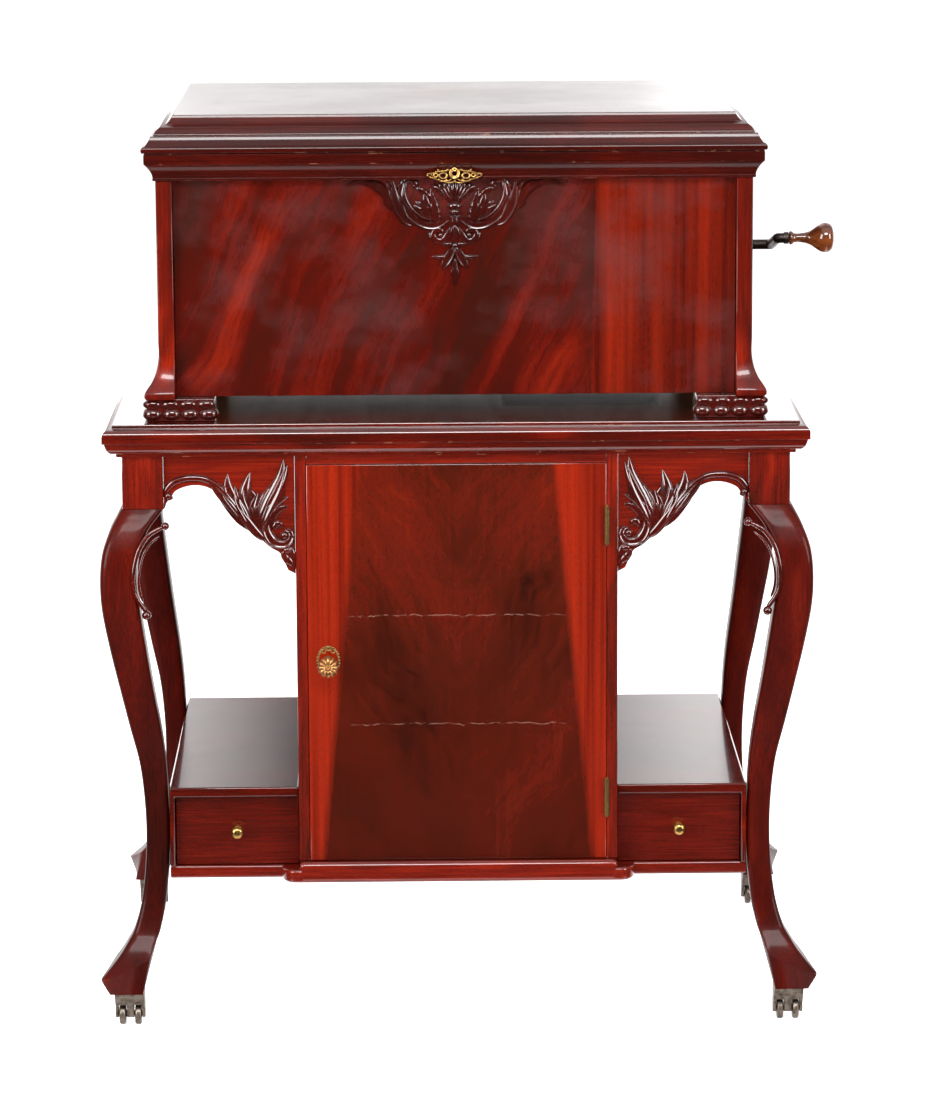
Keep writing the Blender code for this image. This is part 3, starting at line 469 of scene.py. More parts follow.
def panelPattern(tree, coords, tones):
    # a slanting flame across most of the panel and a straight ribbon stripe at its right
    dark, mid, bright = tones
    centred = add(tree, "Mapping", {"Vector": coords, "Location": (-middleX, 0, 0)}).outputs[0]
    right = matched(tree, centred, panelFigure["join"], 0.02, 1.0, 0.002)
    leaning = add(tree, "Mapping", {"Vector": centred, "Rotation": (0, math.radians(-24), 0)}).outputs[0]
    ruffle = add(tree, "TexNoise", {"Vector": leaning, "Scale": 7.0, "Detail": 3.0}).outputs["Color"]
    leaning = add(tree, "VectorMath", {0: ruffle, 1: (0.055, 0.02, 0.12), 2: leaning},
                  operation="MULTIPLY_ADD").outputs[0]
    flame = cloud(tree, leaning, (15, 15, 2.4), detail=4, rough=0.62)
    streak = cloud(tree, leaning, (60, 60, 5), detail=3)
    hair = cloud(tree, leaning, (240, 240, 12), detail=2)
    level = sums(tree, flame, 0.85, -0.11)
    level = sums(tree, streak, 0.26, level)
    level = sums(tree, hair, 0.12, level)
    left = ramp(tree, level, ((0.38, toned(dark, 1.3)), (0.49, toned(mid, 0.58)),
                              (0.58, toned(mid, 0.95)), (0.72, toned(bright, 0.80))))
    stripes = cloud(tree, centred, (34, 34, 1.4), detail=3)
    fine = cloud(tree, centred, (150, 150, 3), detail=2)
    level = sums(tree, fine, 0.3, sums(tree, stripes, 0.8, -0.05))
    ribbons = ramp(tree, level, ((0.38, toned(mid, 0.62)), (0.54, toned(bright, 0.50)),
                                 (0.70, toned(bright, 0.80))))
    colour = mixed(tree, right, left, ribbons)
    band = matched(tree, centred, panelFigure["join"] - panelFigure["bandWidth"], 0.02, 1.0, 0.010)
    shadow = add(tree, "Math", {0: band, 1: right}, operation="SUBTRACT").outputs[0]
    colour = mixed(tree, sums(tree, shadow, 0.6, 0.0), colour, dark)
    return colour


def metal(name, colour, tarnish, rough=0.28, spotted=0.5, scale=90):
    material, tree, shader = freshMaterial(name)
    coords = add(tree, "TexCoord").outputs["Object"]
    stain = cloud(tree, coords, (scale, scale, scale), detail=4, rough=0.65)
    fine = cloud(tree, coords, (scale * 9,) * 3, detail=2)
    mask = ramp(tree, stain, ((0.42, 0.0), (0.66, spotted)))
    tree.links.new(mixed(tree, mask, colour, tarnish), shader.inputs["Base Color"])
    tree.links.new(sums(tree, mask, 0.30, sums(tree, fine, 0.14, rough - 0.07)), shader.inputs["Roughness"])
    bump = add(tree, "Bump", {"Height": sums(tree, fine, 0.4, stain), "Strength": 0.18, "Distance": 0.0004})
    tree.links.new(bump.outputs[0], shader.inputs["Normal"])
    shader.inputs["Metallic"].default_value = 1.0
    return material


def feltCloth(name, colour, pale):
    material, tree, shader = freshMaterial(name)
    coords = add(tree, "TexCoord").outputs["Object"]
    nap = cloud(tree, coords, (900, 900, 900), detail=3, rough=0.7)
    patch = cloud(tree, coords, (22, 22, 22), detail=3)
    level = sums(tree, nap, 0.6, sums(tree, patch, 0.5, -0.1))
    tree.links.new(ramp(tree, level, ((0.30, colour), (0.75, pale))), shader.inputs["Base Color"])
    bump = add(tree, "Bump", {"Height": nap, "Strength": 0.5, "Distance": 0.0006})
    tree.links.new(bump.outputs[0], shader.inputs["Normal"])
    shader.inputs["Roughness"].default_value = 0.95
    shader.inputs["Sheen Weight"].default_value = 0.35
    return material


plainWood = {"dark": (0.25, 0.12, 0.045), "mid": (0.42, 0.24, 0.10), "bright": (0.55, 0.36, 0.17),
             "poreAndShade": (0.16, 0.08, 0.03), "paintedSheen": (0.3, 0.22, 0.15), "nick": (0.6, 0.45, 0.28)}
handleTones = {"dark": (0.022, 0.0045, 0.0014), "mid": (0.080, 0.018, 0.004), "bright": (0.190, 0.050, 0.010),
               "poreAndShade": (0.03, 0.008, 0.003), "paintedSheen": (0.3, 0.1, 0.05), "nick": (0.5, 0.3, 0.15)}

topWood = polished("table_top_mahogany", "X", shade=0.75, figure=0.6, stripe=0.5, gloss=0.12, worn=0.6)
legWood = polished("leg_mahogany", "Z", shade=0.55, figure=0.6, stripe=0.3, size=0.8, gloss=0.30, coat=0.09,
                   film=0.12, spec=0.05)
railWood = polished("rail_mahogany", "X", shade=1.15, figure=0.45, stripe=0.22)
stileWood = polished("stile_mahogany", "Z", shade=1.4, figure=0.6, stripe=0.7)
postWood = polished("post_mahogany", "Z", coat=0.35, shade=1.0, figure=0.6, stripe=0.6)
mouldWood = polished("moulding_mahogany", "X", coat=0.35, shade=0.38, figure=0.6, stripe=0.5, worn=0.45)
blockWood = polished("block_mahogany", "Z", shade=1.15, figure=0.8, stripe=0.5)
drawerWood = polished("drawer_mahogany", "X", shade=0.80, figure=0.16, stripe=0.22)
# the carved woods get painted shade in their hollows and painted highlight on their ridges
carvedWood = polished("carved_mahogany", "X", film=0.10, shade=0.52, figure=0.5, stripe=0.3, hollowShadeRidgeHighlight=0.8)
panelCarvedWood = polished("panel_carved_mahogany", "Z", film=0.15, shade=0.34, figure=0.5, stripe=0.3, hollowShadeRidgeHighlight=0.8)
shelfWood = polished("shelf_mahogany", "X", shade=0.75, figure=0.4, stripe=0.5, gloss=0.10, coat=0.7)
doorWood = polished("door_crotch_mahogany", "Z", pattern=doorPattern, gloss=0.12)
# the flame panel and the sides carry patches of painted sheen
flameWood = polished("panel_flame_mahogany", "Z", paintedSheen=0.26, pattern=panelPattern, gloss=0.14)
sideWood = polished("side_mahogany", "Z", shade=0.8, figure=1.0, stripe=0.6, paintedSheen=0.15)
boardWood = polished("motor_board_mahogany", "X", shade=0.6, figure=0.5, stripe=0.6)
bareWood = polished("bare_softwood", "Y", tones=plainWood, figure=0.4, stripe=0.7, coat=0.0, gloss=0.5)
handleWood = polished("handle_fruitwood", "X", tones=handleTones, figure=0.6, stripe=0.5, size=3.0)
brightBrass = metal("bright_brass", (0.46, 0.27, 0.085), (0.12, 0.060, 0.016), 0.24, 0.6, 160)
oldBrass = metal("old_brass", (0.26, 0.15, 0.055), (0.09, 0.048, 0.018), 0.36, 0.6, 120)
knobBrass = metal("knob_brass", (0.42, 0.21, 0.08), (0.16, 0.06, 0.022), 0.30, 0.7, 190)
casterBronze = metal("caster_bronze", (0.13, 0.105, 0.085), (0.035, 0.022, 0.016), 0.34, 0.8, 130)
blackIron = metal("black_iron", (0.045, 0.040, 0.040), (0.07, 0.035, 0.02), 0.42, 0.5, 110)
nickel = metal("nickel_plate", (0.62, 0.60, 0.56), (0.33, 0.28, 0.21), 0.16, 0.4, 80)
feltGreen = feltCloth("platter_felt", (0.012, 0.040, 0.018), (0.035, 0.085, 0.040))
print("materials ready")

# stand top: one moulded board
topSizes = {"foot": -0.0175, "cove": 0.0028, "nose": 0.0, "drop": 0.0128}
topLow, topHigh = boxOf("stand_top")
edge = runsToProfile((
    ((topSizes["foot"], 0.0), (-0.0170, 0.0035)),
    ((-0.0170, 0.0035), (-0.0125, 0.0046), (-0.0085, 0.0072), (-0.0055, 0.0110), (-0.0038, 0.0155),
     (-topSizes["cove"], 0.0192)),
    ((-topSizes["cove"], 0.0192), (-0.0006, 0.0194)),
    ((-0.0006, 0.0194), (topSizes["nose"], 0.0202), (0.0, 0.0245), (0.0, 0.0285)),
    ((0.0, 0.0285), (-0.0010, 0.0325), (-0.0040, 0.0360), (-0.0085, 0.0381)),
    ((-0.0085, 0.0381), (-0.0118, 0.0384)),
    ((-0.0118, 0.0384), (-0.0125, 0.0388), (-topSizes["drop"], 0.0415), (-0.0135, 0.0430)),
))
bm = bmesh.new()
raised(bm, moulded(topLow, topHigh, [(p.x, topLow.z + p.y) for p in edge]))
finishPiece("stand_top_board", bm, "console", topWood, ("stand_top",))

# legs: a soft square section through the cabriole curve, squarer at the toe, which has a low rim
legSizes = {"x": 0.434, "y": 0.2765, "foot": 0.050, "blockBottom": 0.697, "block": 0.0535, "underTop": 0.767,
            "rimRise": 0.026, "rimDrop": 0.004, "squareness": 5.5, "toeCrispness": 14, "toeShare": 0.12,
            "beads": (0.0032, 0.0017), "beadSink": (0.0012, 0.0030), "curls": (0.0052, 0.0060)}
# (share of the height, how far the outer faces stand out, width)
legFoot = [(0.000, 0.0285, 0.045), (0.010, 0.0310, 0.0495), (0.036, 0.0384, 0.058)]
legCurve = [
    (0.036, 0.0384, 0.058), (0.054, 0.0270, 0.049), (0.076, 0.0144, 0.042), (0.098, 0.0050, 0.0375),
    (0.122, -0.0036, 0.035), (0.173, -0.0129, 0.0326), (0.244, -0.0188, 0.0315), (0.320, -0.0209, 0.0313),
    (0.394, -0.0193, 0.0320), (0.470, -0.0140, 0.0350), (0.544, -0.0035, 0.0405), (0.634, 0.0088, 0.0443),
    (0.717, 0.0197, 0.0480), (0.799, 0.0283, 0.0500), (0.861, 0.0299, 0.0480), (0.915, 0.0264, 0.0480),
    (0.958, 0.0168, 0.0500), (0.985, 0.0080, 0.0545), (1.000, 0.0026, 0.0575)]
footRings = 8
curveRings = curveThrough(legCurve, 7)
footPart = [Vector(legFoot[0]).lerp(Vector(legFoot[1]), i / 2) for i in range(2)]
footPart += [Vector(legFoot[1]).lerp(Vector(legFoot[2]), i / footRings) for i in range(footRings)]
legRings = footPart + curveRings


def legSection(z):
    # how far the leg's outer faces stand out at a height, and how wide it is there
    part = (z - legSizes["foot"]) / (legSizes["blockBottom"] - legSizes["foot"])
    for low, high in zip(curveRings, curveRings[1:]):
        if part <= high.x:
            return low.lerp(high, max(part - low.x, 0.0) / (high.x - low.x))
    return curveRings[-1]


def legPlace(side, end, u, t):
    part = legRings[round(t * (len(legRings) - 1))].x
    height = legSizes["blockBottom"] - legSizes["foot"]
    rim = legFoot[-1][0]
    angle = math.tau * (u + 0.125 / 8)
    c, s = math.cos(angle), math.sin(angle)
    power = legSizes["squareness"] + legSizes["toeCrispness"] * max(0.0, 1 - part / legSizes["toeShare"])
    reach = 1 / (abs(c) ** power + abs(s) ** power) ** (1 / power)
    across, depth = c * reach, s * reach
    rimZ = legSizes["foot"] + rim * height - legSizes["rimDrop"] + legSizes["rimRise"] * (2 - across - depth) / 2
    if part >= rim:
        z = rimZ + (legSizes["blockBottom"] - rimZ) * (part - rim) / (1 - rim)
        here = legSection(z)
        outside, width = here.y, here.z
    else:
        share = part / rim
        here = legSection(rimZ)
        foot = legFoot[0]
        z = legSizes["foot"] + (rimZ - legSizes["foot"]) * share
        outside = foot[1] + (here.y - foot[1]) * share
        width = foot[2] + (here.z - foot[2]) * share
    x = legSizes["x"] + outside - width / 2 + across * width / 2
    y = legSizes["y"] + outside - width / 2 + depth * width / 2
    return Vector((side * x, end * y, z))


kneeScroll = ((0.378, 0.677), (0.390, 0.672), (0.402, 0.664), (0.4135, 0.645), (0.4195, 0.620), (0.4200, 0.600),
              (0.4145, 0.583), (0.4060, 0.570), (0.4035, 0.562))
innerLine = ((0.386, 0.665), (0.398, 0.655), (0.4070, 0.640), (0.4125, 0.615), (0.4120, 0.595), (0.4075, 0.580))
for endName, end in ends:
    for sideName, side in sides:
        name = "leg_" + endName + "_" + sideName
        bm = bmesh.new()
        wrapSheet(bm, 64, len(legRings) - 1, lambda u, t: legPlace(side, end, u, t))
        finishPiece(name + "_cabriole", bm, "console", legWood, (name,), sharp=34)
        x = sorted((side * legSizes["x"], side * (legSizes["x"] - legSizes["block"])))
        y = sorted((end * legSizes["y"], end * (legSizes["y"] - legSizes["block"])))
        bm = bmesh.new()
        slab(bm, (x[0], y[0], legSizes["blockBottom"] - 0.0006), (x[1], y[1], legSizes["underTop"] - 0.0003), 0.0012)
        finishPiece(name + "_block", bm, "console", blockWood, slot=name, flatAbove=0.0004)
        bm = bmesh.new()
        # the front legs are carved on both faces, the rear ones only on the side
        for turned in (False, True) if end < 0 else (True,):
            for path, thick in zip((kneeScroll, innerLine), legSizes["beads"]):
                points = []
                for a, z in path:
                    face = legSizes["x"] if turned else legSizes["y"]
                    face = face + max(legSection(z).y, 0.0) - legSizes["beadSink"][turned]
                    inwards = a if not turned else a - legSizes["x"] + legSizes["y"]
                    points.append((side * inwards, end * face, z) if not turned else
                                  (side * face, end * inwards, z))
                out = (0, end, 0) if not turned else (side, 0, 0)
                strand(bm, points, (thick, thick, thick * 0.9, thick * 1.1), out, 1.0, 12, 44)
                if path is kneeScroll:
                    upper, lower = legSizes["curls"]
                    if not turned:
                        ball(bm, points[0], upper, (1, 1, 1), 16)
                    ball(bm, points[-1], lower, (1, 1, 1), 16)
        finishPiece(name + "_knee_scroll", bm, "console", carvedWood, slot=name)
print("stand top and legs")

# front rails: an arched board, a bead along the arch, acanthus leaves and a scroll beside the cabinet
railSizes = {"inner": 0.2103, "outer": 0.3802, "face": -0.270, "thick": 0.018, "top": 0.7667, "bulk": 1.62,
             "rise": 0.92}
archEdge = ((170.5, 67), (161, 55), (153.5, 46), (135.5, 40), (116.5, 41.5), (97.5, 52), (82.5, 69.5),
            (65.5, 89.5), (49, 107), (33.5, 122), (20.5, 130), (14.5, 142), (9.5, 153), (0, 158))
beadPaths = (
    (((163, 59), (168, 52), (166, 45), (158, 36.5), (146, 31.5), (132, 30), (116, 32), (100, 41), (84, 58),
      (68, 78), (52, 97), (38, 111), (24, 120)), (3.2, 4.4, 4.6, 4.2, 3.4, 2.6, 1.6)),
    (((168, 50), (164, 56), (158, 55)), (3.0, 3.6, 2.0)),
)
# leaves, in millimetres: centre line (out from the cabinet, down from the top), half widths along it, then
# how many lobes and how deep, and how deep the groove is
railLeaves = (
    (((102, 46), (84, 60), (64, 82), (46, 104)), (2.5, 7.2, 8.4, 3.0), (0, 0), 0.0),
    (((66, 40), (60, 58), (54, 80), (46, 102)), (2.5, 7.2, 8.4, 3.0), (0, 0), 0.0),
    (((16, 30), (24, 52), (35, 76), (44, 100)), (2.5, 7.2, 8.0, 3.0), (0, 0), 0.0),
    (((46, 99), (41, 82), (33, 64), (24, 46), (17, 28), (13.8, 6)), (3.0, 5.4, 6.2, 5.8, 4.0, 0.6), (0, 0), 0.75),
    (((47, 98), (44, 80), (38, 62), (31, 47), (24, 34)), (2.6, 4.6, 4.8, 3.6, 0.6), (0, 0), 0.6),
    (((48, 97), (47, 80), (43, 64), (38, 53), (33, 44)), (2.4, 4.0, 4.2, 3.0, 0.6), (0, 0), 0.6),
    (((48, 96), (50, 82), (48, 70), (43, 60)), (2.2, 3.4, 3.2, 0.6), (0, 0), 0.5),
    (((42, 86), (33, 66), (22, 46), (14, 28), (9, 13)), (2.0, 3.8, 4.0, 3.2, 0.6), (0, 0), 0.6),
    (((54, 98), (58, 81), (63.5, 64), (63, 45), (57.5, 23)), (2.8, 4.6, 5.6, 4.8, 0.6), (0, 0), 0.75),
    (((53, 96), (55, 80), (54, 66), (47.5, 50)), (2.4, 3.8, 3.6, 0.6), (0, 0), 0.6),
    (((56, 92), (64, 72), (69, 56), (66, 36)), (2.4, 4.0, 3.8, 0.6), (0, 0), 0.6),
    (((57, 94), (66, 76), (74, 60), (77.5, 41)), (2.4, 3.8, 3.4, 0.6), (0, 0), 0.6),
    (((60, 94), (72, 73), (82, 55), (87, 41), (86.5, 25)), (2.8, 4.6, 5.0, 4.0, 0.6), (0, 0), 0.75),
    (((62, 92), (77, 71), (90, 53), (98.5, 36)), (2.4, 4.0, 3.6, 0.6), (0, 0), 0.6),
    (((66, 88), (84, 66), (100, 48), (112, 31)), (2.2, 3.6, 3.0, 0.6), (0, 0), 0.5),
    (((40, 112), (52, 100), (66, 82), (84, 62), (102, 44)), (3.0, 4.0, 3.8, 3.0, 0.8), (0, 0), 0.5),
    # C-scroll, its inner band and the lower spiral
    (((36, 104), (39, 90), (34.6, 75), (24.5, 64), (8, 55.5)), (3.4, 4.6, 4.4, 3.6, 1.0), (0, 0), 0.65),
    (((29.5, 90), (26.5, 78), (18, 71), (8, 68.5)), (1.4, 3.0, 2.6, 1.0), (0, 0), 0.4),
    (((37, 88), (36.5, 102), (28, 115), (14, 118), (5.5, 111), (6.5, 102), (13, 99)),
     (3.6, 4.6, 4.8, 4.2, 3.4, 2.4, 1.4), (0, 0), 0.6),
    (((28, 98), (24, 91), (19, 92), (19, 97)), (2.4, 2.6, 2.2, 1.2), (0, 0), 0.0),
    # drop below
    (((17, 125), (12, 124), (7, 130), (8, 138)), (2.2, 3.6, 3.4, 1.4), (0, 0), 0.5),
    (((17, 128), (12, 137), (5, 144), (1, 150)), (1.8, 3.4, 2.8, 0.8), (3, 0.15), 0.5),
    (((6, 122), (4, 130), (2.5, 140), (1.5, 156)), (1.6, 2.8, 2.4, 0.8), (0, 0), 0.0),
)
for sideName, side in sides:
    name = "apron_front_" + sideName
    fine = [Vector((p[0], p[1], 0)) for p in archEdge[:-1]]
    fine = curveThrough(fine, 6) + [Vector((0, 158, 0))]
    outline = [(side * (railSizes["inner"] + p.x / 1000 * 0.9965), railSizes["top"] - p.y / 1000) for p in fine]
    outline += [(side * railSizes["inner"], railSizes["top"]), (side * railSizes["outer"], railSizes["top"])]
    bm = bmesh.new()
    pulledOutline(bm, outline, "Y", railSizes["face"], railSizes["face"] + railSizes["thick"], 0.0005, 1)
    finishPiece(name + "_board", bm, "console", railWood, (name,), flatAbove=0.002)

    def railPlace(a, d, lift=0.0):
        return (side * (railSizes["inner"] + a / 1000), railSizes["face"] - lift, railSizes["top"] - d / 1000)

    bm = bmesh.new()
    for path, widths in beadPaths:
        strand(bm, [railPlace(a, d) for a, d in path], [w / 1000 for w in widths], flat=0.9, around=14, lengthwise=60)
    ball(bm, railPlace(164.5, 53.5, 0.001), 0.0048, (1, 0.9, 1), 16)
    for number, (path, widths, lobes, groove) in enumerate(railLeaves):
        lift = 0.0004 * (number % 4)
        flatness = 0.80 if max(widths) < 5 else 0.60 if max(widths) < 7 else 0.20
        strand(bm, [railPlace(a, d, lift) for a, d in path], [w / 1000 * railSizes["bulk"] for w in widths],
               flat=railSizes["rise"] * flatness, around=18, lengthwise=42, groove=groove, lobes=lobes)
    ball(bm, railPlace(14, 106.5, 0.0015), 0.0052, (1, 0.85, 1), 18)
    ball(bm, railPlace(22, 94, 0.001), 0.0028, (1, 0.9, 1), 12)
    ball(bm, railPlace(10.5, 126, 0.001), 0.0056, (1.1, 0.8, 0.8), 16)
    finishPiece(name + "_carving", bm, "console", carvedWood, slot=name, sharp=50)


archSizes = {"crown": 0.036, "fall": 0.030, "beadCrown": 0.033, "beadFall": 0.027, "bead": 0.0035,
             "stop": 0.0045, "margin": 0.004}


def archedRail(bm, axis, reach, start, end):
    outline = [(-reach, railSizes["top"])]
    for step in range(49):
        part = abs(step / 24 - 1)
        arch = railSizes["top"] - archSizes["crown"] - archSizes["fall"] * part ** 4
        outline.append((-reach + 2 * reach * step / 48, arch))
    outline.append((reach, railSizes["top"]))
    pulledOutline(bm, outline, axis, start, end, 0.001, 2)


rearLow, rearHigh = boxOf("apron_rear")
bm = bmesh.new()
archedRail(bm, "Y", rearHigh.x, rearLow.y, rearHigh.y)
finishPiece("apron_rear_board", bm, "console", railWood, ("apron_rear",), flatAbove=0.002)
for sideName, side in sides:
    low, high = boxOf("apron_side_" + sideName)
    bm = bmesh.new()
    archedRail(bm, "X", high.y, low.x, high.x)
    finishPiece("apron_side_" + sideName + "_board", bm, "console", railWood, ("apron_side_" + sideName,),
                flatAbove=0.002)
    face = high.x if side > 0 else low.x
    bm = bmesh.new()
    points = []
    for step in range(25):
        part = abs(step / 12 - 1)
        arch = railSizes["top"] - archSizes["beadCrown"] - archSizes["beadFall"] * part ** 4
        margin = archSizes["margin"]
        points.append((face, -high.y + margin + (2 * high.y - 2 * margin) * step / 24, arch))
    strand(bm, points, (archSizes["bead"],) * 2, (side, 0, 0), 0.8, 12, 70)
    for spot in (points[0], points[-1]):
        ball(bm, spot, archSizes["stop"], (0.9, 1, 1), 14)
    finishPiece("apron_side_" + sideName + "_bead", bm, "console", carvedWood, slot="apron_side_" + sideName)
print("rails and carving")

# cabinet, shelves, drawers, base
baseSizes = {"nose": 0.285, "rail": 0.256, "cove": 0.234, "coveReach": 0.020, "outer": 0.3793, "back": 0.262,
             "low": 0.1950, "high": 0.2119, "middleTop": 0.2219, "middleHalf": 0.2098, "round": 0.0030}
plan = [(-baseSizes["outer"], -baseSizes["rail"]), (-baseSizes["cove"], -baseSizes["rail"])]
for step in range(1, 11):
    angle = math.pi / 2 * step / 10
    plan.append((-baseSizes["cove"] + baseSizes["coveReach"] * (1 - math.cos(angle)),
                 -baseSizes["rail"] - (baseSizes["nose"] - baseSizes["rail"]) * math.sin(angle)))
plan += [(-x, y) for x, y in reversed(plan)]
baseHigh = boxOf("base_board")[1]
plan += [(baseHigh.x, baseSizes["back"]), (-baseHigh.x, baseSizes["back"])]
plan[0] = (-baseHigh.x, -baseSizes["rail"])
plan[len(plan) - 3] = (baseHigh.x, -baseSizes["rail"])
bm = bmesh.new()
pulledOutline(bm, plan, "Z", baseSizes["low"], baseSizes["high"], baseSizes["round"], 4)
slab(bm, (-baseSizes["middleHalf"], -baseSizes["nose"] - 0.0004, baseSizes["low"] - 0.0002),
     (baseSizes["middleHalf"], baseSizes["back"] - 0.001, baseSizes["middleTop"]), 0.0055, 5)
finishPiece("base_board_moulded", bm, "console", railWood, ("base_board",), flatAbove=0.004)
for sideName, side in sides:
    easedCopy("cabinet_side_" + sideName, "console", stileWood)
    easedCopy("side_shelf_" + sideName, "console", shelfWood, 0.0022, 3)
    easedCopy("drawer_" + sideName, "drawer_" + sideName, drawerWood, 0.0010)
easedCopy("cabinet_back", "console", sideWood)
easedCopy("door_header", "console", railWood)
easedCopy("record_rack", "console", bareWood, 0.0012)
easedCopy("door", "door", doorWood, 0.0013, 3)

# hinges: five knuckles and two finials each
hingeSizes = {"knuckles": 5, "radius": 0.0036, "gap": 0.0005, "finial": 0.0026}
for place in ("upper", "lower"):
    low, high = boxOf("door_hinge_" + place)
    centre = ((low.x + high.x) / 2, (low.y + high.y) / 2, 0)
    tall = (high.z - low.z - 2 * hingeSizes["finial"]) / hingeSizes["knuckles"]
    profile = [(low.z, 0.0), (low.z + 0.0006, 0.0016), (low.z + hingeSizes["finial"], 0.0018)]
    for knuckle in range(hingeSizes["knuckles"]):
        start = low.z + hingeSizes["finial"] + knuckle * tall
        r = hingeSizes["radius"]
        profile += [(start + 0.0002, r - 0.0007), (start + hingeSizes["gap"], r),
                    (start + tall - hingeSizes["gap"], r), (start + tall - 0.0002, r - 0.0007)]
    profile += [(high.z - hingeSizes["finial"], 0.0018), (high.z - 0.0006, 0.0016), (high.z, 0.0)]
    bm = bmesh.new()
    spun(bm, profile, "Z", centre, 24)
    finishPiece("door_hinge_" + place + "_knuckles", bm, "console", oldBrass, ("door_hinge_" + place,))

# door knob: a twelve-petal rosette on a neck, with a pierced oval plate on the door
knobSizes = {"x": -0.1689, "z": 0.490, "face": -0.272, "petals": 12, "plate": (0.0145, 0.0185)}
knobHigh = boxOf("door_knob")[1]
knobX = knobSizes["x"]
bm = bmesh.new()
front = knobSizes["face"] - 0.034


def petalPlace(u, t):
    angle = math.tau * u
    profile = along(petalProfile, t)
    wave = 1 + 0.10 * abs(math.cos(knobSizes["petals"] / 2 * angle)) * min(1.0, profile.y / 0.009) - 0.08
    sink = 0.0012 * (1 - abs(math.cos(knobSizes["petals"] / 2 * angle))) * min(1.0, profile.y / 0.008)
    return Vector((knobX + math.cos(angle) * profile.y * wave, profile.x + sink,
                   knobSizes["z"] + math.sin(angle) * profile.y * wave))


petalProfile = curveThrough([(front + 0.0006, 0.0002, 0), (front, 0.0025, 0), (front + 0.0010, 0.0042, 0),
                             (front + 0.0002, 0.0065, 0), (front + 0.0010, 0.0105, 0), (front + 0.0036, 0.0132, 0),
                             (front + 0.0066, 0.0137, 0), (front + 0.0098, 0.0100, 0), (front + 0.0125, 0.0062, 0)], 5)
wrapSheet(bm, 120, len(petalProfile) - 1, petalPlace)
spun(bm, ((front + 0.010, 0.0), (front + 0.010, 0.0068), (front + 0.014, 0.0054), (front + 0.020, 0.0048),
          (front + 0.027, 0.0060), (front + 0.031, 0.0090), (front + 0.0332, 0.0095), (front + 0.0332, 0.0)),
     "Y", (knobX, 0, knobSizes["z"]), 36)
spun(bm, ((front + 0.032, 0.0), (front + 0.032, 0.0040), (knobHigh.y, 0.0040), (knobHigh.y, 0.0)), "Y",
     (knobX, 0, knobSizes["z"]), 24)
slab(bm, (knobX - 0.005, knobHigh.y - 0.009, knobSizes["z"] - 0.005), (knobX + 0.005, knobHigh.y - 0.002, knobHigh.z))
finishPiece("door_knob_rosette", bm, "door_knob", knobBrass, ("door_knob",), sharp=55)
bm = bmesh.new()
plateX, plateZ = knobSizes["plate"]
for step in range(28):
    angle = math.tau * step / 28
    ball(bm, (knobX + plateX * math.cos(angle), knobSizes["face"], knobSizes["z"] + 0.003 + plateZ * math.sin(angle)),
         0.0016, (1, 0.8, 1), 8)
ring(bm, (knobX, knobSizes["face"] + 0.0003, knobSizes["z"] + 0.003), plateX - 0.0012, 0.0012,
     plateZ / plateX)
for dx, dz in ((-0.0062, 0.0125), (0, 0.0158), (0.0062, 0.0125), (-0.0060, -0.0090), (0.0060, -0.0090)):
    ring(bm, (knobX + dx, knobSizes["face"] + 0.0002, knobSizes["z"] + 0.003 + dz), 0.0026, 0.0010)
ring(bm, (knobX, knobSizes["face"] + 0.0002, knobSizes["z"]), 0.0078, 0.0016)
finishPiece("door_knob_backplate", bm, "door", oldBrass, slot="door_knob")

for sideName, side in sides:
    low, high = boxOf("drawer_knob_" + sideName)
    back = high.y
    profile = runsToProfile((
        ((low.y, 0.0), (low.y + 0.0002, 0.0030), (low.y + 0.0012, 0.0058), (low.y + 0.0034, 0.0076),
         (low.y + 0.0060, 0.0076), (low.y + 0.0086, 0.0058), (low.y + 0.0112, 0.0040), (back - 0.0048, 0.0034),
         (back - 0.0020, 0.0044)),
        ((back - 0.0020, 0.0044), (back - 0.0018, 0.0056)), ((back - 0.0018, 0.0056), (back, 0.0057)),
        ((back, 0.0057), (back, 0.0))))
    bm = bmesh.new()
    spun(bm, profile, "Y", ((low.x + high.x) / 2, 0, (low.z + high.z) / 2), 36)
    finishPiece("drawer_knob_" + sideName + "_turned", bm, "drawer_" + sideName, brightBrass,
                ("drawer_knob_" + sideName,))
print("cabinet, drawers and door")

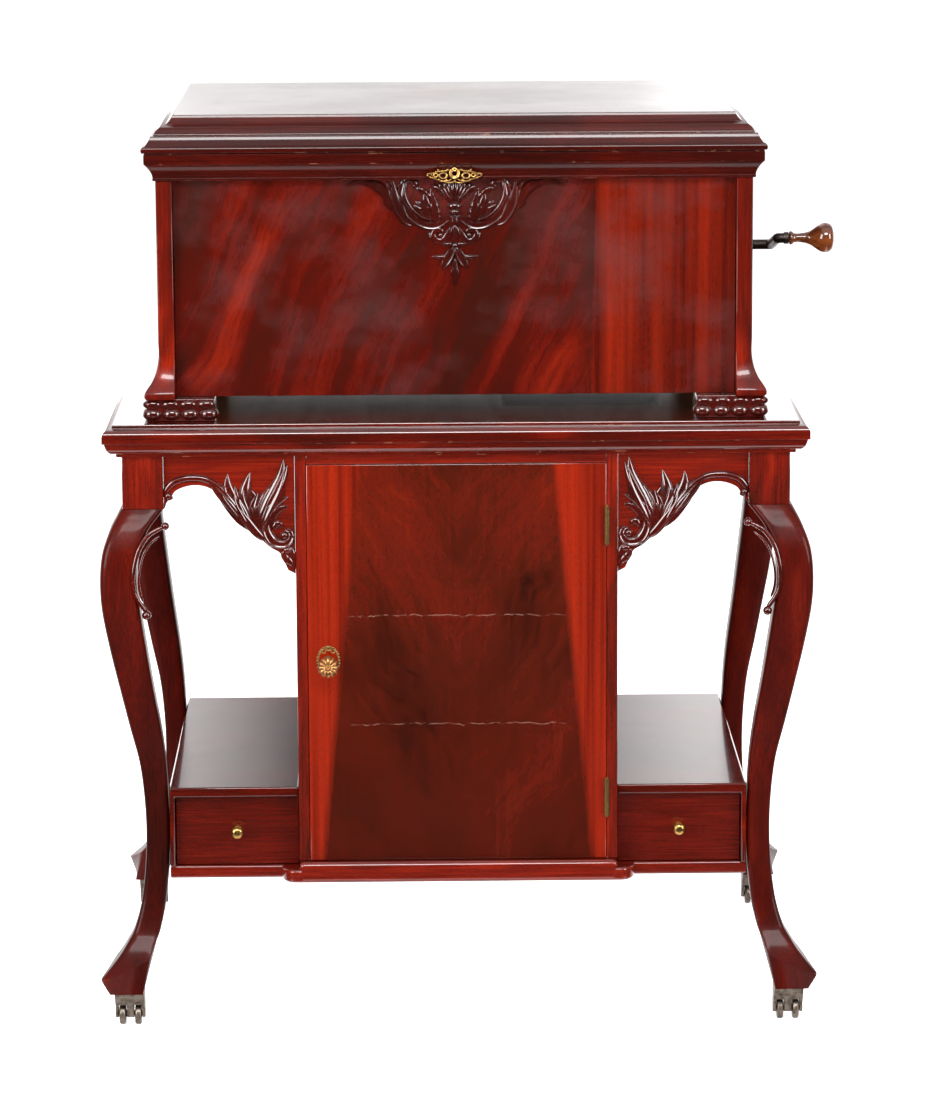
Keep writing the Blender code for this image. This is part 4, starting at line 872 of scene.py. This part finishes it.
# casters
casterSizes = {"wheel": 0.014, "tread": (0.0062, 0.0146)}
for endName, end in ends:
    for sideName, side in sides:
        spot = endName + "_" + sideName
        easedCopy("caster_horn_" + spot, "caster_" + spot, casterBronze, 0.0036, 5, 30)
        low, high = boxOf("caster_wheels_" + spot)
        x, y, z = (low.x + high.x) / 2, (low.y + high.y) / 2, (low.z + high.z) / 2
        r = casterSizes["wheel"]
        bm = bmesh.new()
        for way in (-1, 1):
            inner, outer = casterSizes["tread"]
            profile = runsToProfile((
                ((inner - 0.0007, 0.0), (inner - 0.0007, 0.0050)), ((inner - 0.0007, 0.0050), (inner, 0.0056)),
                ((inner, 0.0056), (inner, r - 0.0035)),
                ((inner, r - 0.0035), (inner + 0.0004, r - 0.0012), (inner + 0.0022, r - 0.0001), (inner + 0.0042, r),
                 (outer - 0.0022, r - 0.0001), (outer - 0.0004, r - 0.0012), (outer, r - 0.0035)),
                ((outer, r - 0.0035), (outer - 0.0008, 0.0075)), ((outer - 0.0008, 0.0075), (outer - 0.0001, 0.0062)),
                ((outer - 0.0001, 0.0062), (outer + 0.0006, 0.0)),
            ))
            spun(bm, [(way * p.x, p.y) for p in profile], "X", (x, y, z), 48)
        spun(bm, ((-0.0195, 0.0), (-0.0190, 0.0030), (-0.0178, 0.0036), (-0.0170, 0.0030), (0.0170, 0.0030),
                  (0.0178, 0.0036), (0.0190, 0.0030), (0.0195, 0.0)), "X", (x, y, z), 20)
        finishPiece("caster_wheels_" + spot + "_turned", bm, "caster_wheels_" + spot, casterBronze,
                    ("caster_wheels_" + spot,))
print("casters")

# upper case
caseSizes = {"half": 0.3845, "front": -0.256, "back": 0.244, "top": 1.122, "seam": 1.158,
             "postWidth": 0.021, "postDepth": 0.028, "panelFace": -0.246}
for node, body, material in (
        ("case_front", "console", flameWood), ("case_side_left", "console", sideWood),
        ("case_side_right", "console", sideWood), ("case_back", "console", sideWood),
        ("case_bottom", "console", bareWood), ("motor_board", "console", boardWood)):
    easedCopy(node, body, material, 0.0008)

# the post's foot: (height, how far it stands out)
flare = curveThrough([(0.0, 0.0165), (0.003, 0.0182), (0.008, 0.0178), (0.014, 0.0142), (0.021, 0.0092),
                      (0.030, 0.0048), (0.042, 0.0014), (0.056, -0.0003), (0.072, 0.0), (0.085, 0.0)], 5)
for sideName, side in sides:
    low, high = boxOf("corner_post_" + sideName)
    tall = high.z - low.z
    inner = caseSizes["half"] - caseSizes["postWidth"]
    rects = []
    for p in flare + [Vector((tall - 0.0005, 0.0)), Vector((tall, -0.0005))]:
        x = sorted((side * inner, side * (caseSizes["half"] + p.y)))
        rects.append((x[0], x[1], caseSizes["front"] - p.y, caseSizes["front"] + caseSizes["postDepth"], low.z + p.x))
    bm = bmesh.new()
    raised(bm, rects)
    # the standing edges are rounded a little
    standing = [e for e in bm.edges if abs(e.verts[0].co.z - e.verts[1].co.z) > 1e-5]
    bmesh.ops.bevel(bm, geom=standing, offset=0.0012, segments=2, profile=0.5, affect="EDGES", material=-1,
                    clamp_overlap=True)
    finishPiece("corner_post_" + sideName + "_flared", bm, "console", postWood, ("corner_post_" + sideName,), sharp=50,
                flatAbove=0.0015)

# feet carved in two tiers of lobes, four across the front and three along the side
# each tier's lobes are (half width, half depth, half height)
footSizes = {"lower": (0.0128, 0.0098, 0.0088), "upper": (0.0122, 0.0068, 0.0062), "lowerRise": 0.0092,
             "upperRise": 0.0222, "upperInset": 0.0030, "columns": 4, "rows": 3, "sink": 0.0055, "reveal": 0.0008}
for endName, end in ends:
    for sideName, side in sides:
        name = "carved_foot_" + endName + "_" + sideName
        low, high = boxOf(name)
        sink = footSizes["sink"]
        x0, x1 = low.x, high.x
        outerX, innerX = (x1, x0) if side > 0 else (x0, x1)
        outerY, innerY = (high.y, low.y) if end > 0 else (low.y, high.y)
        bm = bmesh.new()
        a, b = sorted((outerX - side * sink, innerX + side * 0.004))
        c, d = sorted((outerY - end * sink, innerY))
        slab(bm, (a, c, low.z), (b, d, high.z), 0.0012, 2)
        columns, rows, reveal = footSizes["columns"], footSizes["rows"], footSizes["reveal"]
        for tier in ("lower", "upper"):
            wide, deep, tall = footSizes[tier]
            height = low.z + footSizes[tier + "Rise"]
            inset = sink + footSizes["upperInset"] if tier == "upper" else deep
            span = abs(outerX - innerX) - (0.0 if tier == "lower" else 0.004)
            for column in range(columns):
                x = outerX - side * (reveal + wide + column * (span - 2 * wide) / (columns - 1))
                ball(bm, (x, outerY - end * inset, height), 1.0, (wide, deep, tall), 22)
            spanY = abs(outerY - innerY)
            for row in range(rows):
                y = outerY - end * (reveal + wide + row * (spanY - 2 * wide) / (rows - 1))
                ball(bm, (outerX - side * inset, y, height), 1.0, (deep, wide * 0.94, tall), 22)
        finishPiece(name + "_lobes", bm, "console", carvedWood, (name,), sharp=60)

# cornice under the lid
corniceEdge = runsToProfile((
    ((0.0022, 0.0), (0.0030, 0.0006)), ((0.0030, 0.0006), (0.0034, 0.0022), (0.0030, 0.0040)),
    ((0.0030, 0.0040), (0.0038, 0.0080), (0.0062, 0.0132), (0.0095, 0.0180), (0.0122, 0.0212)),
    ((0.0122, 0.0212), (0.0136, 0.0222)),
    ((0.0136, 0.0222), (0.0138, 0.0260), (0.0138, 0.0330), (0.0134, 0.0356)), ((0.0134, 0.0356), (0.0126, 0.0360)),
))
base = ((-caseSizes["half"], caseSizes["front"]), (caseSizes["half"], caseSizes["back"]))
loop = [(p.x, caseSizes["top"] + p.y) for p in corniceEdge]
loop += [(-0.0134, caseSizes["seam"]), (-0.0134, caseSizes["top"])]
bm = bmesh.new()
raised(bm, moulded(base[0], base[1], loop), hollow=True)
finishPiece("cornice_moulded", bm, "console", mouldWood, ("cornice",), flatAbove=0.02)

# lid: nose, cove, ovolo and a dished ogee up to a flat top
lidEdge = runsToProfile((
    ((0.0140, 0.0006), (0.0160, 0.0010), (0.0169, 0.0028), (0.0170, 0.0052), (0.0164, 0.0074), (0.0150, 0.0086)),
    ((0.0150, 0.0086), (0.0142, 0.0088)),
    ((0.0142, 0.0088), (0.0120, 0.0102), (0.0097, 0.0130), (0.0074, 0.0162), (0.0060, 0.0196), (0.0054, 0.0216)),
    ((0.0054, 0.0216), (0.0016, 0.0219)),
    ((0.0016, 0.0219), (0.0012, 0.0236), (0.0, 0.0256), (-0.0020, 0.0287), (-0.0058, 0.0318), (-0.0100, 0.0338)),
    ((-0.0100, 0.0338), (-0.0140, 0.0356), (-0.0180, 0.0390), (-0.0205, 0.0425), (-0.0214, 0.0448)),
    ((-0.0214, 0.0448), (-0.0220, 0.0461), (-0.0234, 0.0465)),
))
loop = [(-0.030, caseSizes["seam"] + 0.0305), (-0.030, caseSizes["seam"] + 0.0006)]
loop += [(p.x, caseSizes["seam"] + p.y) for p in lidEdge]
bm = bmesh.new()
raised(bm, moulded(base[0], base[1], loop))
finishPiece("lid_moulded", bm, "lid", mouldWood, ("lid",), flatAbove=0.02)
easedCopy("lid_stay", "lid", oldBrass, 0.0006)
easedCopy("lid_hinge", "console", oldBrass, 0.0004)

# lock escutcheon: a pierced filigree of rings and scrolls
lockSizes = {"setForward": 0.0050, "leansFrom": 1.1165, "lean": 0.2356}


def lockPlace(a, z, lift=0.0):
    # the plate leans back with the moulding behind it
    y = caseSizes["front"] - lockSizes["setForward"] - (z - lockSizes["leansFrom"]) * lockSizes["lean"] - lift
    return (a, y, z)


bm = bmesh.new()
ring(bm, lockPlace(0, 1.1300), 0.0060, 0.0013)
ring(bm, lockPlace(0, 1.1300, 0.0006), 0.0040, 0.0009)
for side in (-1, 1):
    ring(bm, lockPlace(side * 0.0148, 1.1272), 0.0048, 0.0012, 0.72)
    ring(bm, lockPlace(side * 0.0242, 1.1280), 0.0024, 0.0009)
    for path, widths in (
            (((0.004, 1.1225), (0.010, 1.1200), (0.018, 1.1205), (0.026, 1.1240), (0.034, 1.1262)),
             (0.0008, 0.0012, 0.0011, 0.0010, 0.0006)),
            (((0.006, 1.1350), (0.012, 1.1335), (0.019, 1.1330), (0.026, 1.1315), (0.0335, 1.1290)),
             (0.0008, 0.0011, 0.0010, 0.0009, 0.0006)),
            (((0.0, 1.1188), (0.006, 1.1180), (0.012, 1.1188), (0.016, 1.1210)), (0.0011, 0.0010, 0.0009, 0.0006)),
            (((0.028, 1.1262), (0.031, 1.1300), (0.0345, 1.1290), (0.0330, 1.1268)), (0.0008, 0.0012, 0.0012, 0.0007))):
        strand(bm, [lockPlace(side * a, z) for a, z in path], widths, flat=0.9, around=10, lengthwise=30)
    for a, z in ((0.009, 1.1352), (0.021, 1.1348), (0.0345, 1.1278), (0.0105, 1.1222), (0.0200, 1.1222)):
        ball(bm, lockPlace(side * a, z, 0.0004), 0.0013, (1, 0.9, 1), 8)
for a, z in ((0.0, 1.1374), (0.0, 1.1200)):
    ball(bm, lockPlace(a, z, 0.0004), 0.0017, (1, 0.9, 1), 10)
finishPiece("lock_escutcheon_filigree", bm, "console", brightBrass, ("lock_escutcheon",))

# panel carving, in millimetres: centre line (out from the middle, down from the panel's top), half widths
# along it, then how many lobes and how deep, and how deep the groove is
shellSizes = {"flutes": 9, "spread": 27, "top": 3.5, "root": 34, "bulk": 1.80, "rise": 1.0}
panelStrands = (
    # ring scroll, its inner curl and the grooved band
    (((66, 2.5), (70.6, 23), (61.5, 42), (45, 57), (26, 61.5), (10, 53), (6, 47)),
     (2.6, 3.2, 3.4, 3.3, 3.0, 2.4, 1.4), (0, 0), 0.7),
    (((62, 3), (64, 22), (56.5, 38), (43, 50), (30, 54)), (1.2, 1.6, 1.6, 1.4, 0.8), (0, 0), 0.0),
    (((66, 4), (60, 1.5), (52, 4), (50, 9), (54, 12)), (2.0, 2.2, 2.2, 2.0, 1.2), (0, 0), 0.0),
    # outer leaves
    (((54, 60), (62, 54), (71, 40), (76, 26), (79.5, 2)), (1.2, 3.4, 4.4, 4.0, 0.8), (0, 0), 0.6),
    (((70, 42), (82, 34), (89.7, 18), (99.8, 7.7), (112, 2)), (1.2, 3.4, 3.8, 2.8, 0.7), (5, 0.25), 0.5),
    (((76, 38), (94, 18), (105.8, 8), (122, 3.6), (141, 9.7)), (1.2, 2.4, 2.6, 2.0, 0.6), (0, 0), 0.4),
    (((84, 24), (84, 14), (88, 3)), (1.4, 2.6, 0.6), (0, 0), 0.4),
    # inside sprigs
    (((18, 60), (26, 51), (39, 38), (50.4, 29)), (1.0, 2.2, 2.6, 0.6), (4, 0.4), 0.4),
    (((20, 58), (23, 50), (26, 36), (31, 13)), (1.0, 2.6, 3.0, 0.6), (5, 0.4), 0.4),
    (((26, 40), (34, 34), (38, 24), (35, 16)), (1.0, 2.2, 2.2, 0.6), (3, 0.3), 0.3),
    (((34, 40), (44, 40), (53, 34)), (1.0, 2.0, 0.6), (0, 0), 0.3),
    (((30, 26), (36, 20), (44, 14), (50, 13)), (0.8, 1.8, 1.8, 0.8), (3, 0.3), 0.3),
    # leaves under the cup
    (((1.5, 48), (3.5, 54), (5.5, 60), (9, 65)), (1.4, 2.2, 2.4, 0.7), (0, 0), 0.5),
    (((4, 47), (8, 52), (10.5, 58)), (1.2, 2.2, 0.7), (0, 0), 0.4),
    (((0, 47), (0, 56), (0, 67)), (1.4, 2.4, 0.8), (0, 0), 0.6),
    # lower scroll pair
    (((3, 60), (9, 72), (15, 80), (23, 80), (28, 73), (24, 66.5), (17, 68), (16, 74)),
     (1.4, 2.6, 2.6, 2.4, 2.2, 2.0, 1.8, 1.0), (0, 0), 0.3),
    (((18, 66), (24, 62), (30, 63)), (1.0, 1.8, 0.6), (3, 0.3), 0.2),
    (((26, 80), (30, 76), (33, 70)), (1.0, 1.6, 0.6), (3, 0.3), 0.2),
    (((4, 84), (10, 86), (18, 84)), (1.0, 1.8, 0.6), (0, 0), 0.2),
    # V leaves, thin arms and the tip
    (((0, 88), (5, 97), (11, 108), (17, 119)), (1.6, 3.2, 3.2, 0.8), (0, 0), 0.65),
    (((1, 95), (11, 100.5), (20, 102), (30, 101)), (0.9, 1.5, 1.6, 0.5), (0, 0), 0.0),
    (((0, 104), (0, 118), (0, 130), (0, 141)), (1.4, 3.0, 2.4, 0.6), (3, 0.2), 0.6),
    (((0, 60), (0, 74), (0, 92)), (2.0, 1.8, 1.4), (0, 0), 0.3),
)


def panelPlace(a, d, lift=0.0):
    return (a / 1000, caseSizes["panelFace"] - lift, caseSizes["top"] - d / 1000)


bm = bmesh.new()
for side in (-1, 1):
    for number, (path, widths, lobes, groove) in enumerate(panelStrands):
        lift = 0.0003 * (number % 3)
        strand(bm, [panelPlace(side * a, d, lift) for a, d in path], [w / 1000 * shellSizes["bulk"] for w in widths],
               flat=shellSizes["rise"], around=14, lengthwise=36, groove=groove, lobes=lobes)
    ball(bm, panelPlace(side * 18.5, 73.5, 0.001), 0.0034, (1, 0.9, 1), 14)
    ball(bm, panelPlace(side * 51, 9, 0.001), 0.0030, (1, 0.9, 1), 12)
flutes = shellSizes["flutes"]
for number in range(flutes):
    lean = 2 * number / (flutes - 1) - 1
    reach = shellSizes["spread"] * lean
    top = shellSizes["top"] + 5.5 * lean * lean
    root = shellSizes["root"]
    strand(bm, [panelPlace(lean * 2.0, root), panelPlace(reach * 0.55, root * 0.5 + 2, 0.001),
                panelPlace(reach, top, 0.0012)],
           (0.0014, 0.0026, 0.0040, 0.0030), flat=1.05, around=14, lengthwise=26)
ball(bm, panelPlace(0, 36, 0.0), 0.0088, (1, 0.62, 0.62), 20)
ball(bm, panelPlace(0, 43, 0.002), 0.0058, (1.1, 0.9, 0.75), 18)
ball(bm, panelPlace(0, 87, 0.001), 0.0042, (1, 0.9, 1), 14)
finishPiece("case_front_carving", bm, "console", panelCarvedWood, slot="case_front", sharp=50)
print("upper case and its carving")

# crank, shaft plate and turned handle
crankLow, crankHigh = boxOf("crank")
gripLow, gripHigh = boxOf("crank_handle")
crankSizes = {"shaftY": -0.060, "shaftZ": 1.010, "turn": 0.424, "radius": 0.0066, "bend": 0.010}
armY, armZ = (gripLow.y + gripHigh.y) / 2, (gripLow.z + gripHigh.z) / 2
toArm = Vector((0, armY - crankSizes["shaftY"], armZ - crankSizes["shaftZ"])).normalized() * crankSizes["bend"]
shaft = Vector((crankSizes["turn"], crankSizes["shaftY"], crankSizes["shaftZ"]))
arm = Vector((crankSizes["turn"], armY, armZ))
r = crankSizes["radius"]
bm = bmesh.new()
rod(bm, [(crankLow.x, shaft.y, shaft.z), (crankLow.x + 0.10, shaft.y, shaft.z), (crankLow.x + 0.2, shaft.y, shaft.z),
         shaft - Vector((0.012, 0, 0)), shaft - Vector((0.002, 0, 0)) + toArm * 0.25, shaft + toArm,
         shaft.lerp(arm, 0.35), shaft.lerp(arm, 0.7), arm - toArm, arm - toArm * 0.25 + Vector((0.002, 0, 0)),
         arm + Vector((0.0135, 0, 0))], [r] * 10 + [r * 0.95], 24, 8)
spun(bm, ((arm.x + 0.008, 0.0), (arm.x + 0.008, 0.0078), (arm.x + 0.0135, 0.0078), (arm.x + 0.0142, 0.0070),
          (arm.x + 0.0142, 0.0028), (crankHigh.x, 0.0028), (crankHigh.x, 0.0)), "X", (0, armY, armZ), 28)
finishPiece("crank_rod", bm, "crank", blackIron, ("crank",))
wall = caseSizes["half"] - 0.0014
bm = bmesh.new()
spun(bm, runsToProfile((
    ((wall - 0.0005, 0.0084), (wall - 0.0005, 0.019)), ((wall - 0.0005, 0.019), (wall + 0.0010, 0.0188)),
    ((wall + 0.0010, 0.0188), (wall + 0.0022, 0.0170), (wall + 0.0030, 0.0140), (wall + 0.0050, 0.0118),
     (wall + 0.0068, 0.0108)), ((wall + 0.0068, 0.0108), (wall + 0.0072, 0.0084)),
    ((wall + 0.0072, 0.0084), (wall - 0.0005, 0.0084)))),
     "X", (0, crankSizes["shaftY"], crankSizes["shaftZ"]), 40)
finishPiece("crank_shaft_plate", bm, "console", oldBrass, slot="lock_escutcheon")
start = gripLow.x
profile = runsToProfile((
    ((start, 0.0), (start, 0.0072)), ((start, 0.0072), (start + 0.0010, 0.0086), (start + 0.0032, 0.0090),
                                      (start + 0.0052, 0.0080)),
    ((start + 0.0052, 0.0080), (start + 0.0060, 0.0068)),
    ((start + 0.0060, 0.0068), (start + 0.0090, 0.0060), (start + 0.0160, 0.0062), (start + 0.0230, 0.0074),
     (start + 0.0290, 0.0100), (start + 0.0350, 0.0142), (start + 0.0410, 0.0180), (start + 0.0470, 0.0198),
     (start + 0.0520, 0.0194), (start + 0.0560, 0.0166), (start + 0.0585, 0.0115), (start + 0.0597, 0.0050),
     (gripHigh.x - 0.0001, 0.0)),
), 6)
bm = bmesh.new()
spun(bm, profile, "X", (0, armY, armZ), 56)
finishPiece("crank_handle_turned", bm, "crank_handle", handleWood, ("crank_handle",))

# platter, felt, tone arm and sound box
deck = {"x": -0.020, "y": -0.060, "board": 1.094, "armX": 0.175, "armY": 0.140, "armZ": 1.150}
tableLow = boxOf("turntable")[0]
d = deck["board"] + 0.014
bm = bmesh.new()
spun(bm, runsToProfile((
    ((tableLow.z, 0.0), (tableLow.z, 0.0040)), ((tableLow.z, 0.0040), (deck["board"] + 0.003, 0.0040)),
    ((deck["board"] + 0.003, 0.0040), (deck["board"] + 0.003, 0.0190)),
    ((deck["board"] + 0.003, 0.0190), (d - 0.004, 0.0230), (d, 0.0310)), ((d, 0.0310), (d, 0.1440)),
    ((d, 0.1440), (d + 0.0006, 0.1480), (d + 0.0020, 0.1496), (d + 0.0050, 0.1500), (d + 0.0082, 0.1496),
     (d + 0.0100, 0.1484)), ((d + 0.0100, 0.1484), (d + 0.0104, 0.1470)),
    ((d + 0.0104, 0.1470), (d + 0.0104, 0.0)))), "Z", (deck["x"], deck["y"], 0), 96)
spun(bm, ((d + 0.012, 0.0), (d + 0.012, 0.0075), (d + 0.0142, 0.0070), (d + 0.0150, 0.0036), (d + 0.0220, 0.0034),
          (d + 0.0240, 0.0026), (d + 0.0250, 0.0)), "Z", (deck["x"], deck["y"], 0), 32)
finishPiece("turntable_casting", bm, "turntable", nickel, ("turntable",))
bm = bmesh.new()
spun(bm, ((d + 0.0100, 0.0), (d + 0.0100, 0.1464), (d + 0.0120, 0.1474), (d + 0.0129, 0.1462), (d + 0.0130, 0.1440),
          (d + 0.0130, 0.0)), "Z", (deck["x"], deck["y"], 0), 96)
finishPiece("turntable_felt", bm, "turntable", feltGreen, slot="turntable")

armLow = boxOf("tone_arm")[0]
endY = armLow.y + 0.008
x, y, z = deck["armX"], deck["armY"], armLow.z
bm = bmesh.new()
spun(bm, runsToProfile((
    ((z, 0.0), (z, 0.0236)),
    ((z, 0.0236), (z + 0.0014, 0.0240), (z + 0.0036, 0.0226), (z + 0.0052, 0.0190), (z + 0.0070, 0.0160)),
    ((z + 0.0070, 0.0160), (z + 0.0076, 0.0148)), ((z + 0.0076, 0.0148), (z + 0.020, 0.0138)),
    ((z + 0.020, 0.0138), (z + 0.0215, 0.0146), (z + 0.0235, 0.0146), (z + 0.025, 0.0136)),
    ((z + 0.025, 0.0136), (z + 0.036, 0.0130)), ((z + 0.036, 0.0130), (z + 0.036, 0.0)))),
     "Z", (x, y, 0), 40)
rod(bm, [(x, y, z + 0.022), (x, y, z + 0.034), (x, y - 0.003, z + 0.046), (x, y - 0.012, deck["armZ"] - 0.0015),
         (x, y - 0.026, deck["armZ"]), (x, y - 0.11, deck["armZ"]), (x, endY + 0.05, deck["armZ"]),
         (x, endY + 0.016, deck["armZ"]), (x - 0.001, endY + 0.004, deck["armZ"]), (x - 0.0040, endY, deck["armZ"]),
         (x - 0.0092, endY, deck["armZ"])],
    [0.0126, 0.0126, 0.0124, 0.0122, 0.0118, 0.0104, 0.0090, 0.0082, 0.0079, 0.0077, 0.0070], 28, 7)
for place, size in ((y - 0.030, 0.0126), (endY + 0.018, 0.0092)):
    spun(bm, ((place - 0.0022, size - 0.0018), (place - 0.0018, size), (place + 0.0018, size),
              (place + 0.0022, size - 0.0018)), "Y", (x, 0, deck["armZ"]), 32)
finishPiece("tone_arm_tube", bm, "tone_arm", nickel, ("tone_arm",))

boxLow, boxHigh = boxOf("sound_box")
s = boxHigh.x
bm = bmesh.new()
spun(bm, runsToProfile((
    ((s, 0.0), (s, 0.0100)), ((s, 0.0100), (s - 0.0026, 0.0118)), ((s - 0.0026, 0.0118), (s - 0.0032, 0.0228)),
    ((s - 0.0032, 0.0228), (s - 0.0040, 0.0241), (s - 0.0060, 0.0244), (s - 0.0090, 0.0244), (s - 0.0112, 0.0238)),
    ((s - 0.0112, 0.0238), (s - 0.0124, 0.0228)), ((s - 0.0124, 0.0228), (s - 0.0124, 0.0200)),
    ((s - 0.0124, 0.0200), (s - 0.0108, 0.0186)), ((s - 0.0108, 0.0186), (s - 0.0104, 0.0176)),
    ((s - 0.0104, 0.0176), (s - 0.0104, 0.0042)), ((s - 0.0104, 0.0042), (s - 0.0122, 0.0030), (s - 0.0130, 0.0)),
)), "X", (0, endY, deck["armZ"]), 48)
slab(bm, (s - 0.0092, endY - 0.0018, boxLow.z), (s - 0.0058, endY + 0.0018, deck["armZ"] - 0.0195), 0.0005)
slab(bm, (s - 0.0126, endY - 0.0008, deck["armZ"] - 0.0225), (s - 0.0114, endY + 0.0008, deck["armZ"] + 0.0008), 0.0003)
for angle in (30, 150, 270):
    a = math.radians(angle + 90)
    spun(bm, ((s - 0.0130, 0.0), (s - 0.0130, 0.0012), (s - 0.0118, 0.0014), (s - 0.0118, 0.0)), "X",
         (0, endY + 0.0213 * math.cos(a), deck["armZ"] + 0.0213 * math.sin(a)), 12)
finishPiece("sound_box_turned", bm, "sound_box", nickel, ("sound_box",))

for node, material in (("horn", blackIron), ("motor_frame", blackIron), ("spring_barrel", oldBrass),
                       ("governor", brightBrass)):
    easedCopy(node, node if node in ("spring_barrel", "governor") else "console", material, 0.0006)
print("crank, platter and tone arm")

# camera, lights and floor
cameraSizes = {"place": (-0.0565, -5.839, 1.7456), "pan": 0.0129, "dip": 0.1962, "roll": -0.0053, "lens": 142.55}
pan, dip, roll = cameraSizes["pan"], cameraSizes["dip"], cameraSizes["roll"]
forward = Vector((math.sin(pan) * math.cos(dip), math.cos(pan) * math.cos(dip), -math.sin(dip)))
right = Vector((math.cos(pan), -math.sin(pan), 0))
above = right.cross(forward)
tiltedRight = right * math.cos(roll) + above * math.sin(roll)
tiltedUp = above * math.cos(roll) - right * math.sin(roll)
lens = bpy.data.cameras.new("camera")
lens.lens = cameraSizes["lens"]
lens.sensor_width = 36
lens.clip_end = 60
camera = bpy.data.objects.new("camera", lens)
bpy.context.scene.collection.objects.link(camera)
stance = Matrix((tiltedRight, tiltedUp, -forward)).transposed().to_4x4()
stance.translation = Vector(cameraSizes["place"]) + Vector((middleX, 0, 0))
camera.matrix_world = stance
bpy.context.scene.camera = camera

floorSizes = {"wide": 45, "patch": 0.62, "patchLift": 0.0003, "glow": 0.62}
floorMaterial, floorTree, floorShader = freshMaterial("studio_floor")
grit = cloud(floorTree, add(floorTree, "TexCoord").outputs["Object"], (40, 40, 40), detail=4)
floorTree.links.new(ramp(floorTree, grit, ((0.3, (0.86, 0.86, 0.86)), (0.7, (0.90, 0.90, 0.90)))),
                    floorShader.inputs["Base Color"])
floorShader.inputs["Roughness"].default_value = 0.9
floorShader.inputs["Emission Color"].default_value = (1, 1, 1, 1)
floorShader.inputs["Emission Strength"].default_value = floorSizes["glow"]
# the wide floor isn't mirrored in the polish; a smaller patch under the console is, and shows nowhere else
for name, half, height in (("studio_floor", floorSizes["wide"], 0.0),
                           ("floor_glow", floorSizes["patch"], floorSizes["patchLift"])):
    bm = bmesh.new()
    bmesh.ops.create_grid(bm, x_segments=8, y_segments=8, size=half, matrix=Matrix.Translation((middleX, 0, height)))
    floorMesh = bpy.data.meshes.new(name)
    bm.to_mesh(floorMesh)
    bm.free()
    floorMesh.materials.append(floorMaterial)
    floor = bpy.data.objects.new(name, floorMesh)
    bpy.context.scene.collection.objects.link(floor)
    floor.visible_glossy = name == "floor_glow"
    floor.visible_camera = name == "studio_floor"
    floor.visible_diffuse = name == "studio_floor"
    floor.visible_shadow = name == "studio_floor"

lights = {
    "left_front": {"place": (-3.2, -3.2, 2.0), "size": (1.8, 2.6), "power": 235, "aim": (0, 0, 0.7), "glints": True},
    "right_front": {"place": (3.4, -3.0, 2.0), "size": (1.4, 2.4), "power": 190, "aim": (0, 0, 0.7), "glints": True},
    "high_front": {"place": (0, -3.6, 3.6), "size": (2.2, 0.9), "power": 170, "aim": (0, 0, 0.9), "glints": True},
    "high": {"place": (0, 1.2, 4.0), "size": (2.6, 2.0), "power": 110, "aim": (0, 0, 0.8), "glints": False},
}
for name, facts in lights.items():
    lamp = bpy.data.lights.new(name, "AREA")
    lamp.shape = "RECTANGLE"
    lamp.size, lamp.size_y = facts["size"]
    lamp.energy = facts["power"]
    holder = bpy.data.objects.new(name, lamp)
    holder.location = facts["place"]
    holder.rotation_euler = (Vector(facts["aim"]) - Vector(facts["place"])).to_track_quat("-Z", "Y").to_euler()
    holder.visible_glossy = facts["glints"]
    bpy.context.scene.collection.objects.link(holder)

# the room's brightness by direction: (start, end, value at the start, value at the end) along one axis,
# where X runs to the right, Y away from the front and Z up
room = {
    "light": (-0.4, 0.5, 0.12, 0.95),       # along Y: what lights the wood; the others are what its polish mirrors
    "low": (0.10, 0.26, 1.9, 1.05),         # along Z
    "ahead": (0.1, 0.8, 0.010, 1.0),        # along Y
    "beside": (0.027, 0.064, 0.12, 1.4),    # along X, the same to either side
    "horizon": (0.11, 0.14, 1.0, 0.0),      # along Z: the least that "beside" may be
    "overhead": (0.30, 0.62, 0.0, 1.3),     # along Z
    "behind": (-0.1, 0.3, 1.0, 0.15),       # along Y: how much of "overhead" is left
}
world = bpy.data.worlds.new("studio")
bpy.context.scene.world = world
world.use_nodes = True
tree = world.node_tree
backdrop = tree.nodes["Background"]


def roomPart(name, axis):
    start, end, first, last = room[name]
    return add(tree, "MapRange", {0: axis, 1: start, 2: end, 3: first, 4: last}).outputs[0]


def joined(first, second, operation="MULTIPLY"):
    return add(tree, "Math", {0: first, 1: second}, operation=operation).outputs[0]


direction = add(tree, "SeparateXYZ", {0: add(tree, "TexCoord").outputs["Generated"]}).outputs
rays = add(tree, "LightPath").outputs
sideways = add(tree, "Math", {0: direction[0]}, operation="ABSOLUTE").outputs[0]
mirrored = joined(roomPart("low", direction[2]), roomPart("ahead", direction[1]))
mirrored = joined(mirrored, joined(roomPart("beside", sideways), roomPart("horizon", direction[2]), "MAXIMUM"))
ceiling = joined(roomPart("overhead", direction[2]), roomPart("behind", direction[1]))
mirrored = joined(mirrored, ceiling, "ADD")
strength = add(tree, "Mix", {0: rays["Is Glossy Ray"], 2: roomPart("light", direction[1]), 3: mirrored},
               data_type="FLOAT").outputs[0]
strength = add(tree, "Mix", {0: rays["Is Camera Ray"], 2: strength, 3: 1.0}, data_type="FLOAT").outputs[0]
tree.links.new(strength, backdrop.inputs["Strength"])
backdrop.inputs["Color"].default_value = (1, 1, 1, 1)
bpy.context.scene.view_settings.view_transform = "Standard"
print("camera, floor and lights")
